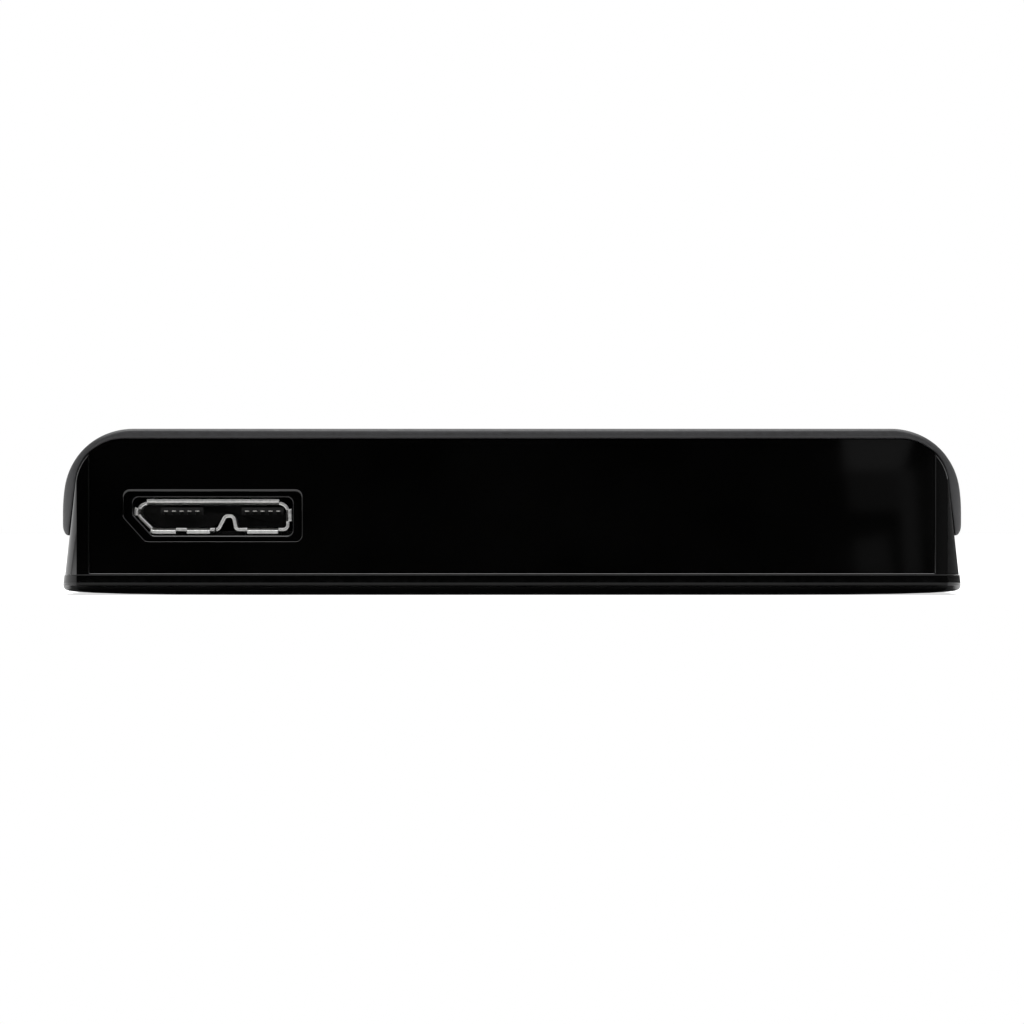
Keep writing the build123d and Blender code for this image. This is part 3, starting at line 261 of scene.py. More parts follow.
def finish(slot):
    """Material of a slot: mottled colour, uneven gloss and relief from its grain and its pattern."""
    look = FINISHES[slot]
    made = bpy.data.materials.get(look.name)
    if made:
        return made
    made = bpy.data.materials.new(look.name)
    made.use_nodes = True
    tree = made.node_tree
    shader = tree.nodes["Principled BSDF"]
    place = add_node(tree, "TexCoord").outputs["Object"]
    per_metre = [1 / (look.grain * MM * along) for along in look.stretch]
    scaled = add_node(tree, "Mapping", {"Vector": place, "Scale": per_metre})
    noise = add_node(tree, "TexNoise", {"Vector": scaled.outputs["Vector"], "Scale": 1.0, "Detail": 3.0})
    skin = noise.outputs["Fac"]
    if slot in PATTERNS:
        skin = patterned(tree, PATTERNS[slot], place, skin)
    tint = add_node(tree, "ValToRGB", {"Fac": skin})
    for stop, at, code in zip(tint.color_ramp.elements, TINT_SPAN, (look.dark, look.light)):
        stop.position = at
        stop.color = linear(code)
    (low, high), (least, most) = GLOSS_SPAN, look.rough
    gloss = add_node(
        tree, "MapRange",
        {"Value": skin, "From Min": low, "From Max": high, "To Min": least, "To Max": most},
    )
    tree.links.new(tint.outputs["Color"], shader.inputs["Base Color"])
    tree.links.new(gloss.outputs["Result"], shader.inputs["Roughness"])
    if look.relief:
        bump = add_node(tree, "Bump", {"Height": skin, "Distance": look.relief * MM, "Strength": 1.0})
        tree.links.new(bump.outputs["Normal"], shader.inputs["Normal"])
    shader.inputs["Metallic"].default_value = look.metallic
    for key, value in look.constants.items():
        shader.inputs[key].default_value = value
    return made


# Meshes


def place_piece(name, skin, slot, node, turn=40):
    """Puts a built mesh in the scene, in place of its solid and with its finish.

    Edges that turn more than an angle in degrees stay sharp.
    """
    data = bpy.data.meshes.new(name)
    skin.normal_update()
    skin.to_mesh(data)
    skin.free()
    piece = bpy.data.objects.new(name, data)
    bpy.context.scene.collection.objects.link(piece)
    data.shade_smooth()
    data.set_sharp_from_angle(angle=math.radians(turn))
    data.materials.append(finish(slot))
    weigh = piece.modifiers.new("Even normals", "WEIGHTED_NORMAL")
    weigh.keep_sharp = True
    weigh.weight = 80
    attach(piece, CASE)
    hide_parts(node)


def skin_of(node):
    """Mesh of a solid with one vertex per corner and whole flat faces."""
    same_spot, same_plane = 0.002 * MM, math.radians(0.4)
    skin = bmesh.new()
    skin.from_mesh(NODES[node].data)
    bmesh.ops.remove_doubles(skin, verts=skin.verts, dist=same_spot)
    bmesh.ops.dissolve_limit(
        skin, angle_limit=same_plane, verts=skin.verts, edges=skin.edges, use_dissolve_boundaries=False
    )
    return skin


def round_edges(skin, turn, radius, segments):
    """Rounds the edges of a mesh that turn more than an angle in degrees."""
    sharp = [
        edge
        for edge in skin.edges
        if len(edge.link_faces) == 2 and edge.calc_face_angle() > math.radians(turn)
    ]
    bmesh.ops.bevel(
        skin, geom=sharp, offset=radius, offset_type="OFFSET", segments=segments, profile=0.5,
        affect="EDGES", clamp_overlap=True, loop_slide=True,
    )


def join_loops(skin, loops):
    """Joins closed loops of points into a closed skin with flat ends."""
    rings = [[skin.verts.new(point) for point in loop] for loop in loops]
    count = len(rings[0])
    for near, far in zip(rings, rings[1:]):
        for at in range(count):
            after = (at + 1) % count
            skin.faces.new((near[at], near[after], far[after], far[at]))
    skin.faces.new(rings[0][::-1])
    skin.faces.new(rings[-1])
    bmesh.ops.recalc_face_normals(skin, faces=skin.faces)


def boxes(spots):
    """Skin of boxes, each given by its low and high corner."""
    skin = bmesh.new()
    for low, high in spots:
        plan = [(low[0], low[1]), (high[0], low[1]), (high[0], high[1]), (low[0], high[1])]
        join_loops(skin, [[(x, y, z) for x, y in plan] for z in (low[2], high[2])])
    return skin


def carve(skin, tool, operation="DIFFERENCE"):
    """Skin with another skin cut out of it, or joined to it."""
    pair = []
    for part in (skin, tool):
        data = bpy.data.meshes.new("blank")
        part.to_mesh(data)
        part.free()
        pair.append(bpy.data.objects.new("blank", data))
        bpy.context.scene.collection.objects.link(pair[-1])
    step = pair[0].modifiers.new("Cut", "BOOLEAN")
    step.operation = operation
    step.solver = "EXACT"
    step.object = pair[1]
    graph = bpy.context.evaluated_depsgraph_get()
    result = bmesh.new()
    result.from_mesh(pair[0].evaluated_get(graph).to_mesh())
    for blank in pair:
        bpy.data.meshes.remove(blank.data)
    return result


def arc(centre, radius, start, end, count):
    """Points along an arc, its last one left to what follows."""
    turns = [start + (end - start) * step / count for step in range(count)]
    return [Vector((centre[0] + radius * math.cos(t), centre[1] + radius * math.sin(t))) for t in turns]


def straight(start, end, count):
    """Points along a line, its last one left to what follows."""
    start, end = Vector(start), Vector(end)
    return [start.lerp(end, step / count) for step in range(count)]


def left_half(right):
    """Left half of an outline, which follows its right half."""
    return [Vector((-x, z)) for x, z in reversed(right)]


def rounded(corners, steps=8):
    """Closed outline through corners (x, z, radius), each turned by an arc."""
    outline = []
    for at, (x, z, radius) in enumerate(corners):
        here = Vector((x, z))
        before = (Vector(corners[at - 1][:2]) - here).normalized()
        after = (Vector(corners[(at + 1) % len(corners)][:2]) - here).normalized()
        half = before.angle(after) / 2
        start = here + before * (radius / math.tan(half))
        end = here + after * (radius / math.tan(half))
        centre = here + (before + after).normalized() * (radius / math.sin(half))
        first = math.atan2(start.y - centre.y, start.x - centre.x)
        last = math.atan2(end.y - centre.y, end.x - centre.x)
        turn = (last - first + math.pi) % (2 * math.pi) - math.pi
        outline += arc(centre, radius, first, first + turn, steps) + [end]
    return outline


def grown(outline, amount):
    """Closed outline, drawn anticlockwise, moved outwards by an amount."""
    moved = []
    for at, here in enumerate(outline):
        into = (here - outline[at - 1]).normalized()
        away = (outline[(at + 1) % len(outline)] - here).normalized()
        normals = [Vector((way.y, -way.x)) for way in (into, away)]
        moved.append(here + (normals[0] + normals[1]) * (amount / (1 + normals[0].dot(normals[1]))))
    return moved


def quarter(steps=4):
    """Share of a small round that is run out, and share that is climbed, step by step."""
    turns = [RIGHT_ANGLE * step / steps for step in range(steps + 1)]
    return [(1 - math.sin(t), 1 - math.cos(t)) for t in turns]


# Case


class CaseSizes(bpy.types.PropertyGroup):
    """Sizes of the case that are finer than the solids."""

    shoulder: millimetres("Shoulder", "Radius of the cover's shoulders", 6.0)
    side: millimetres("Side", "Radius of the cover's bulging sides", 14.0)
    belly: millimetres("Belly", "Height of the cover's widest line", 6.4)
    plan_corner: millimetres("Plan corner", "Radius of the cover's corners seen from above", 4.0)
    cover_edge: millimetres("Cover edge", "Round of the cover's edges", 0.33)
    lip: millimetres("Lip", "Height of the rounded lips along the cover's lower edges", 1.0)
    window_gap: millimetres("Window gap", "Gap round the light pipe", 0.06)
    seat_corner: millimetres("Seat corner", "Radius of the frame's shoulders under the cover", 4.0)
    seat_gap: millimetres("Seat gap", "Gap between the cover and the frame", 0.07)
    seat_half: millimetres("Seat half width", "Half width of the frame's walls at their top", 36.175)
    seat_top: millimetres("Seat top", "Height of the frame's side walls", 9.3)
    seat_end: millimetres("Seat end", "Ends of the low side walls, from the middle", 55.5)
    draft: bpy.props.FloatProperty(
        name="Draft", description="Lean of the frame's side walls", default=math.radians(8.1), subtype="ANGLE"
    )
    end_half: millimetres("End half width", "Half width of the flat ends, where the corners begin", 36.09)
    end_edge: millimetres("End edge", "Round between the flat ends and the corners", 0.05)
    corner_turn: bpy.props.FloatProperty(
        name="Corner turn", description="Turn of the corners at the flat ends", default=math.radians(50),
        subtype="ANGLE",
    )
    frame_edge: millimetres("Frame edge", "Round of the frame's edges", 0.04)
    hollow_half: millimetres("Hollow half width", "Half width of the hollow in the frame", 35.225)
    hollow_front: millimetres("Hollow front", "Front of the hollow, from the middle", 57.0)
    hollow_rear: millimetres("Hollow rear", "Rear of the hollow, from the middle", 57.9)
    pocket_half: millimetres("Pocket half width", "Half width of the end panel's pocket", 35.0)
    pocket_back: millimetres("Pocket back", "Back of the pocket, from the middle", 58.0)
    pillar_edge: millimetres("Pillar edge", "Round of the frame's edges beside the end panel", 0.2)
    sill: millimetres("Sill", "Height of the frame's sill under the end panel", 0.14)
    sill_edge: millimetres("Sill edge", "Round of the sill", 0.06)
    sill_gap: millimetres("Sill gap", "Gap between the sill and the end panel", 0.02)
    panel_depth: millimetres("Panel depth", "Thickness of the end panel", 1.2)
    panel_gap: millimetres("Panel gap", "Gap on each side of the end panel", 0.03)
    panel_edge: millimetres("Panel edge", "Round of the end panel's edge at the recess", 0.14)
    groove_x: millimetres("Groove", "Grooves for the bottom cover's ribs, to each side", 36.243)
    groove_rear: millimetres("Rear groove", "Groove of the rear rib, from the middle", 58.7)
    groove_half: millimetres("Groove half width", "Half width of the grooves", 0.47)
    groove_top: millimetres("Groove top", "Height of the grooves' ends", 2.47)
    rib_gap: millimetres("Rib gap", "Gap between a rib and its groove", 0.12)
    rib_foot: millimetres("Rib foot", "Height at which the ribs begin", 1.3)
    rear_rib_half: millimetres("Rear rib half length", "Half length of the rear rib", 35.1)
    seam: millimetres("Seam", "Gap between the frame and the bottom cover", 0.015)
    plinth: millimetres("Plinth", "Bottom cover past the frame's sides", 0.08)
    undercut: millimetres("Undercut", "Height of the bottom cover's undercut", 0.8)
    under_edge: millimetres("Underside edge", "Round of the bottom cover's lower edges", 0.22)
    under_land: millimetres("Underside land", "Flat above that round", 0.03)
    rim_edge: millimetres("Rim edge", "Round of the bottom cover's upper edges", 0.02)
    under_floor: millimetres("Underside floor", "Height of the bottom cover's floor inside", 1.2)


def frame_shoulder(sizes, gap):
    """Centre and radius of the frame's shoulder, a gap away from it, and the foot of its side."""
    lean = math.tan(sizes.draft)
    radius = sizes.seat_corner + gap
    foot = sizes.seat_half + gap / math.cos(sizes.draft) + sizes.seat_top * lean
    z = FRAME_HIGH.z + gap - radius
    return Vector((foot - lean * z - radius / math.cos(sizes.draft), z)), radius, foot


def cover_outlines(sizes):
    """Outside and inside of the cover seen from its end, with as many points each."""
    half, _, top = COVER_HIGH
    low = COVER_LOW.z
    side_x = half - sizes.side
    shoulder_z = top - sizes.shoulder
    rise = shoulder_z - sizes.belly
    shoulder_x = side_x + math.sqrt((sizes.side - sizes.shoulder) ** 2 - rise**2)
    join = math.atan2(rise, shoulder_x - side_x)
    seat, radius, foot = frame_shoulder(sizes, sizes.seat_gap)
    lip_z = low + sizes.lip
    below = -math.asin((sizes.belly - lip_z) / sizes.side)
    lip_out = side_x + sizes.side * math.cos(below)
    lip_in = foot - math.tan(sizes.draft) * low
    # The lip starts a little past its lowest point, where the inside begins
    lip_turns = [RIGHT_ANGLE * (0.05 + 0.95 * step / 12) for step in range(12)]
    outer = [
        Vector((lip_in + (lip_out - lip_in) * math.sin(t), lip_z - sizes.lip * math.cos(t)))
        for t in lip_turns
    ]
    outer += arc((side_x, sizes.belly), sizes.side, below, join, 20)
    outer += arc((shoulder_x, shoulder_z), sizes.shoulder, join, RIGHT_ANGLE, 40)
    outer += straight((shoulder_x, top), (0, top), 8)
    meet = seat + radius * Vector((math.cos(sizes.draft), math.sin(sizes.draft)))
    ceiling = seat.y + radius
    inner = straight((lip_in, low), meet, 32)
    inner += arc(seat, radius, sizes.draft, RIGHT_ANGLE, 40)
    inner += straight((seat.x, ceiling), (0, ceiling), 8)
    return [side + [Vector((0, z))] + left_half(side) for side, z in ((outer, top), (inner, ceiling))]


class DRIVE_OT_saddle_cover(bpy.types.Operator):
    """Matte cover that saddles the top and both long sides"""

    bl_idname = "drive.saddle_cover"
    bl_label = "Saddle cover"

    def execute(self, context):
        sizes = context.scene.case_sizes
        half, rear, _ = COVER_HIGH
        outer, inner = cover_outlines(sizes)

        def end_depth(x):
            """How far the end stands back at a distance from the middle."""
            past = max(0.0, abs(x) - (half - sizes.plan_corner))
            return sizes.plan_corner - math.sqrt(max(0.0, sizes.plan_corner**2 - past**2))

        skin = bmesh.new()
        ends = []
        for way in (-1, 1):
            grid = []
            for out_spot, in_spot in zip(outer, inner):
                wall = (in_spot - out_spot).length
                # Thin walls keep a flat between their two rounds
                edge = min(sizes.cover_edge, 0.45 * wall)
                flat = 1 - 2 * edge / wall
                steps = [(edge * climb / wall, edge * run) for run, climb in quarter(5)]
                steps += [(0.5 - flat / 6, 0), (0.5 + flat / 6, 0)]
                steps += [(1 - edge * climb / wall, edge * run) for run, climb in reversed(quarter(5))]
                row = []
                for share, back in steps:
                    x, z = out_spot.lerp(in_spot, share)
                    row.append(skin.verts.new((x, way * (rear - end_depth(x) - back), z)))
                grid.append(row)
            ends.append(grid)
        front, back = ends
        across, through = len(outer) - 1, len(front[0]) - 1
        for grid in ends:
            for u in range(across):
                for v in range(through):
                    skin.faces.new((grid[u][v], grid[u][v + 1], grid[u + 1][v + 1], grid[u + 1][v]))
        for u in range(across):
            for v in (0, through):
                skin.faces.new((front[u][v], front[u + 1][v], back[u + 1][v], back[u][v]))
        for v in range(through):
            for u in (0, across):
                skin.faces.new((front[u][v], front[u][v + 1], back[u][v + 1], back[u][v]))
        bmesh.ops.recalc_face_normals(skin, faces=skin.faces)
        gap = Vector((1, 1, 1)) * sizes.window_gap
        window = boxes([(PIPE_LOW - gap, PIPE_HIGH + gap)])
        place_piece("saddle_cover", carve(skin, window), "matte_charcoal", "top_cover")
        return {"FINISHED"}


def wall_half(sizes, z):
    """Half width of the frame at a height: drafted sides, then rounded shoulders."""
    seat, radius, foot = frame_shoulder(sizes, 0)
    rise = z - seat.y
    if rise <= radius * math.sin(sizes.draft):
        return foot - math.tan(sizes.draft) * z
    return seat.x + math.sqrt(max(0.0, radius**2 - rise**2))


def case_loop(sizes, z, side_inset=0.0, end_inset=0.0):
    """Outline of the case seen from above at a height: flat ends, and corners that flare back."""
    half = wall_half(sizes, z) - side_inset
    end = FRAME_HIGH.y - end_inset
    start = min(sizes.end_half - max(0.0, side_inset), half - sizes.end_edge)
    turn = sizes.corner_turn
    flare = (half - start) / (1 - math.sin(turn))
    corner = [
        Vector((start + sizes.end_edge * (math.sin(t) - math.sin(turn)), sizes.end_edge * (1 - math.cos(t))))
        for t in (turn * step / 4 for step in range(4))
    ]
    depth = sizes.end_edge * (1 - math.cos(turn))
    for step in range(13):
        t = turn + (RIGHT_ANGLE - turn) * step / 12
        x = start + flare * (math.sin(t) - math.sin(turn))
        corner.append(Vector((x, depth + flare * (math.cos(turn) - math.cos(t)))))
    right = [(x, d - end) for x, d in corner] + [(x, end - d) for x, d in reversed(corner)]
    return [(x, y, z) for x, y in right] + [(-x, y, z) for x, y in reversed(right)]


def panel_pocket(sizes):
    """Cutter of the pocket for the end panel, above a sill with a rounded edge."""
    face, back = FRAME_LOW.y, -sizes.pocket_back
    ahead = face - MM
    sill, edge = FRAME_LOW.z + sizes.sill, sizes.sill_edge
    outline = [Vector((ahead, sill - edge)), Vector((face, sill - edge))]
    outline += arc((face + edge, sill - edge), edge, math.radians(170), RIGHT_ANGLE, 16)
    outline += [Vector((face + edge, sill)), Vector((back, sill))]
    outline += [Vector((back, ABOVE)), Vector((ahead, ABOVE))]
    cutter = bmesh.new()
    join_loops(cutter, [[(x, y, z) for y, z in outline] for x in (-sizes.pocket_half, sizes.pocket_half)])
    return cutter


def pillar_rounds(sizes):
    """Cutter that rounds the frame's edges on both sides of the end panel."""
    face, pocket, edge = FRAME_LOW.y, sizes.pocket_half, sizes.pillar_edge
    sill = FRAME_LOW.z + sizes.sill
    past = 0.01 * MM
    outline = [Vector((pocket - past, face + edge)), Vector((pocket - past, face - past))]
    outline += [Vector((pocket + edge, face - past))]
    outline += arc((pocket + edge, face + edge), edge, -RIGHT_ANGLE, -math.pi, 16)
    outline += [Vector((pocket, face + edge))]
    cutter = bmesh.new()
    for way in (-1, 1):
        join_loops(cutter, [[(way * x, y, z) for x, y in outline] for z in (sill, ABOVE)])
    return cutter


def rib_boxes(sizes, gap, foot, rear_half):
    """Boxes of the bottom cover's ribs, which are a gap smaller than their grooves."""
    half, top = sizes.groove_half - gap, sizes.groove_top - gap
    front, rear = gap - sizes.hollow_front, sizes.hollow_rear - gap
    spots = [
        ((way * sizes.groove_x - half, front, foot), (way * sizes.groove_x + half, rear, top))
        for way in (-1, 1)
    ]
    middle = sizes.groove_rear
    return spots + [((-rear_half, middle - half, foot), (rear_half, middle + half, top))]


# Openings of the front wall, in mm: half width and height for the socket and for a clip of the
# panel, and where both clips are
SOCKET_PORT = (7.08, 1.985)
CLIP_PORT = (2.55, 0.85)
CLIPS = (8.836, 26.509)
# Openings of the side walls for the cover's catches, in mm: side, pitch and height, and half size
CATCH = (36.4, 36.0, 7.85)
CATCH_HALF = (1.5, 3.15, 0.6)


def frame_openings(sizes):
    """Boxes of the openings for the socket, the panel's clips, the ribs and the cover's catches."""
    slack = 0.5 * MM
    front, back = -sizes.pocket_back - slack, slack - sizes.hollow_front
    ports = [(SOCKET.x, SOCKET_PORT)] + [(x * MM, CLIP_PORT) for x in CLIPS]
    spots = [
        ((x - w * MM, front, SOCKET.z - h * MM), (x + w * MM, back, SOCKET.z + h * MM))
        for x, (w, h) in ports
    ]
    spots += rib_boxes(sizes, 0, 0, sizes.hollow_half)
    half = Vector(CATCH_HALF) * MM
    for way in (-1, 1):
        for number in (-1, 0, 1):
            middle = Vector((way * CATCH[0], number * CATCH[1], CATCH[2])) * MM
            spots.append((middle - half, middle + half))
    return spots


class DRIVE_OT_frame(bpy.types.Operator):
    """Gloss frame with drafted sides, end walls and flared corners"""

    bl_idname = "drive.frame"
    bl_label = "Frame"

    def execute(self, context):
        sizes = context.scene.case_sizes
        edge = sizes.frame_edge
        low, top = FRAME_LOW.z, FRAME_HIGH.z
        seat, radius, _ = frame_shoulder(sizes, 0)
        levels = [(low + edge * climb, edge * run, edge * run) for run, climb in quarter()]
        levels += [(low + (seat.y - low) * share, 0, 0) for share in (0.3, 0.6, 0.9)]
        for step in range(17):
            turn = sizes.draft + (RIGHT_ANGLE - sizes.draft) * step / 16
            z = seat.y + radius * math.sin(turn)
            over = max(0.0, 1 - (top - z) / edge)
            levels.append((z, 0, edge * (1 - math.sqrt(max(0.0, 1 - over**2)))))
        skin = bmesh.new()
        join_loops(skin, [case_loop(sizes, *level) for level in levels])
        inner, end = sizes.hollow_half, sizes.seat_end
        skin = carve(skin, boxes([((-inner, -sizes.hollow_front, 0), (inner, sizes.hollow_rear, ABOVE))]))
        skin = carve(skin, boxes([((-PAST_SIDE, -end, sizes.seat_top), (PAST_SIDE, end, ABOVE))]))
        skin = carve(skin, panel_pocket(sizes))
        skin = carve(skin, pillar_rounds(sizes))
        skin = carve(skin, boxes(frame_openings(sizes)))
        place_piece("gloss_frame", skin, "gloss_black", "case_frame", turn=6)
        return {"FINISHED"}


# Undercut of the bottom cover: height, and distance in from the sides and from the ends, in mm
HULL = (
    (0.0, 14.0, 3.2), (0.03, 8.0, 2.4), (0.08, 4.5, 1.95), (0.15, 2.4, 1.7), (0.23, 1.2, 1.52),
    (0.31, 0.5, 1.4), (0.42, 0.16, 1.25), (0.56, 0.04, 1.05), (0.68, 0.0, 0.78), (0.76, 0.0, 0.35),
)


class DRIVE_OT_underside(bpy.types.Operator):
    """Bottom cover with its boat-shaped underside"""

    bl_idname = "drive.underside"
    bl_label = "Bottom cover"

    def execute(self, context):
        sizes = context.scene.case_sizes
        top = FRAME_LOW.z - sizes.seam
        edge, rim, out = sizes.under_edge, sizes.rim_edge, sizes.plinth
        start = sizes.undercut
        levels = [(z * MM, side * MM - out, end * MM) for z, side, end in HULL]
        levels += [(start + edge * climb, -out, edge * run) for run, climb in quarter(5)[1:]]
        levels += [(start + edge + sizes.under_land, -out, 0)]
        levels += [(top - rim * climb, rim * run - out, rim * run) for run, climb in reversed(quarter(3))]
        skin = bmesh.new()
        join_loops(skin, [case_loop(sizes, *level) for level in levels])
        inner, floor = sizes.hollow_half, sizes.under_floor
        hollow = ((-inner, -sizes.hollow_front, floor), (inner, sizes.hollow_rear, ABOVE))
        skin = carve(skin, boxes([hollow]))
        ribs = rib_boxes(sizes, sizes.rib_gap, sizes.rib_foot, sizes.rear_rib_half)
        skin = carve(skin, boxes(ribs), "UNION")
        place_piece("underside_cover", skin, "satin_black", "bottom_cover")
        return {"FINISHED"}


# Socket


class SocketSizes(bpy.types.PropertyGroup):
    """Sizes of the data socket and of the recess that it stands in."""

    recess_half_w: millimetres("Recess half width", "Half width of the recess at the panel", 7.36)
    recess_half_h: millimetres("Recess half height", "Half height of the recess at the panel", 2.06)
    recess_shift: millimetres("Recess shift", "Recess to the right of the socket", 0.09)
    recess_drop: millimetres("Recess drop", "Recess below the socket", 0.035)
    recess_cut_w: millimetres("Recess cut width", "Cut corner of the recess, across", 1.8)
    recess_cut_h: millimetres("Recess cut height", "Cut corner of the recess, up", 2.0)
    recess_corner: millimetres("Recess corner", "Corner radius of the recess", 0.5)
    ledge_w: millimetres("Ledge width", "Ledge round the recess, across", 0.725)
    ledge_h: millimetres("Ledge height", "Ledge round the recess, up", 0.47)
    ledge_depth: millimetres("Ledge depth", "Ledge below the panel", 0.35)
    rim_edge: millimetres("Rim edge", "Round of the ledge's inner edge", 0.09)
    brow: bpy.props.FloatProperty(
        name="Brow", description="How much more the recess is rounded above than below", default=0.65,
        min=0.0, max=0.9, subtype="FACTOR",
    )
    sheet: millimetres("Sheet", "Thickness of the shell's steel", 0.28)
    sheet_edge: millimetres("Sheet edge", "Round of the steel's edges", 0.05)
    split_x: millimetres("Split", "Where both ends of the steel meet, right of the middle", 0.28)
    split_half: millimetres("Split half width", "Half of the gap between these ends", 0.06)
    tab: millimetres("Tab", "Length of the shell's flared tabs", 0.5)
    flare: millimetres("Flare", "How far the tabs flare", 0.22)
    blade_w: millimetres("Contact width", "Width of a contact", 0.36)
    blade_t: millimetres("Contact thickness", "Thickness of a contact", 0.12)
    blade_rise: millimetres("Contact height", "Contacts above the middle of the socket", 0.41)
    pitch: millimetres("Contact pitch", "Spacing of the contacts", 0.65)
    slot_w: millimetres("Slot width", "Slot of the tongue below a contact", 0.38)
    slot_h: millimetres("Slot height", "Slot of the tongue, up to the contact", 0.42)


def recess_outline(socket, share):
    """Outline of the recess, from its edge at 0 to the inside of its ledge at 1."""
    half_w = socket.recess_half_w - socket.ledge_w * share
    half_h = socket.recess_half_h - socket.ledge_h * share
    cut_w = socket.recess_cut_w * half_w / socket.recess_half_w
    cut_h = socket.recess_cut_h - socket.ledge_h * share / 2
    spots = [
        (-half_w, cut_h - half_h), (cut_w - half_w, -half_h), (half_w, -half_h),
        (half_w, half_h), (-half_w, half_h),
    ]
    left, level = SOCKET.x + socket.recess_shift, SOCKET.z - socket.recess_drop
    return rounded([(left + x, level + z, socket.recess_corner) for x, z in spots])


class DRIVE_OT_end_panel(bpy.types.Operator):
    """Gloss end panel with the recess that the socket stands in"""

    bl_idname = "drive.end_panel"
    bl_label = "End panel"

    def execute(self, context):
        sizes = context.scene.case_sizes
        socket = context.scene.socket_sizes
        half, top = sizes.pocket_half - sizes.panel_gap, PANEL_HIGH.z
        low = PANEL_LOW.z + sizes.sill + sizes.sill_gap
        face, back = PANEL_LOW.y, PANEL_LOW.y + sizes.panel_depth
        seat, radius, _ = frame_shoulder(sizes, 0)
        start = math.acos((half - seat.x) / radius)
        right = [Vector((0, low)), Vector((half, low))]
        right += arc(seat, radius, start, RIGHT_ANGLE, 24) + [Vector((seat.x, top))]
        outline = right + left_half(right[1:])
        skin = bmesh.new()
        join_loops(skin, [[(x, y, z) for x, z in outline] for y in (back, face)])

        edge, rim, brow = sizes.panel_edge, socket.rim_edge, socket.brow
        floor = socket.ledge_depth
        # Recess: depth, share of the ledge, how much wider, and how much of that is above
        steps = [(-edge, 0, edge, brow)]
        steps += [(edge * climb, 0, edge * run, brow) for run, climb in quarter()]
        steps += [(floor, 0, 0, 0)]
        steps += [(floor + rim * climb, 1, rim * run, -brow / 4) for run, climb in quarter()]
        steps += [(back - face + edge, 1, 0, 0)]
        loops = [
            [(x, face + depth, z + lean * more) for x, z in grown(recess_outline(socket, share), more)]
            for depth, share, more, lean in steps
        ]
        cutter = bmesh.new()
        join_loops(cutter, loops)
        place_piece("gloss_panel", carve(skin, cutter), "gloss_black", "end_panel", turn=50)
        return {"FINISHED"}


# Fold of the shell seen from its mouth: corners (x, z, radius) in mm from the socket's middle
SHELL_FOLD = (
    (-6.12, 1.06, 0.72), (-6.12, 0.0, 0.6), (-4.97, -1.13, 0.6), (0.5, -1.13, 0.3), (1.06, 0.0, 0.36),
    (1.76, 0.0, 0.36), (1.98, -1.13, 0.28), (6.28, -1.13, 0.4), (6.28, 1.06, 0.72),
)
# Tabs of its mouth: the low and high corner (x, z) in mm of the box that holds each of them
SHELL_TABS = (
    ((-5.36, 0.9), (5.59, 1.2)), ((-6.4, 0.08), (-5.9, 0.58)), ((6.1, -0.46), (6.5, 0.5)),
    ((-5.03, -1.3), (-2.99, -1.0)), ((-2.15, -1.3), (-0.16, -1.0)), ((2.88, -1.3), (5.46, -1.0)),
)
# Rows of faces along a tab, and how sharply it curls towards its end
TAB_STEPS = 5
TAB_CURL = 1.6


def shell_path():
    """Middle of the shell's steel, in steps of about a tenth of a millimetre."""
    fold = rounded([[value * MM for value in corner] for corner in SHELL_FOLD], 6)
    path = []
    for here, after in zip(fold, fold[1:] + fold[:1]):
        length = (after - here).length
        if length > 1e-7:
            path += straight(here, after, max(1, round(length / (0.1 * MM))))
    return path


def shell_skin(socket):
    """Shell folded from one strip of steel, with flared tabs at its mouth."""
    mouth, rear = SHELL_LOW.y, SHELL_HIGH.y
    path = shell_path()
    count = len(path)
    middles = [(path[at] + path[(at + 1) % count]) / 2 for at in range(count)]
    in_tab = [
        any(low[0] <= x / MM <= high[0] and low[1] <= z / MM <= high[1] for low, high in SHELL_TABS)
        for x, z in middles
    ]
    # The ends of the strip meet in the lower wall, more than 1 mm below the middle
    in_sheet = [abs(x - socket.split_x) >= socket.split_half or z >= -MM for x, z in middles]
    depths = [socket.tab * step / TAB_STEPS for step in range(TAB_STEPS + 1)] + [rear - mouth]
    rows = len(depths) - 1
    skin = bmesh.new()
    grids = []
    for side in (0.5, -0.5):
        grid = []
        for depth in depths:
            bend = socket.flare * max(0.0, 1 - depth / socket.tab) ** TAB_CURL
            loop = grown(path, side * socket.sheet + bend)
            grid.append([skin.verts.new((SOCKET.x + x, mouth + depth, SOCKET.z + z)) for x, z in loop])
        grids.append(grid)
    outside, inside = grids

    def present(at, row):
        """Whether the sheet has steel in a cell of its path and depth."""
        at %= count
        return 0 <= row < rows and in_sheet[at] and (row >= TAB_STEPS or in_tab[at])

    for at in range(count):
        after = (at + 1) % count
        for row in range(rows):
            if not present(at, row):
                continue
            for grid in grids:
                skin.faces.new((grid[row][at], grid[row][after], grid[row + 1][after], grid[row + 1][at]))
            # Cells beside this one, and the edge that it shares with each of them
            for beside, (r0, a0), (r1, a1) in (
                ((at, row - 1), (row, at), (row, after)),
                ((at, row + 1), (row + 1, at), (row + 1, after)),
                ((at - 1, row), (row, at), (row + 1, at)),
                ((at + 1, row), (row, after), (row + 1, after)),
            ):
                if not present(*beside):
                    skin.faces.new((outside[r0][a0], outside[r1][a1], inside[r1][a1], inside[r0][a0]))
    bmesh.ops.delete(skin, geom=[v for v in skin.verts if not v.link_faces], context="VERTS")
    bmesh.ops.recalc_face_normals(skin, faces=skin.faces)
    round_edges(skin, 50, socket.sheet_edge, 2)
    return skin


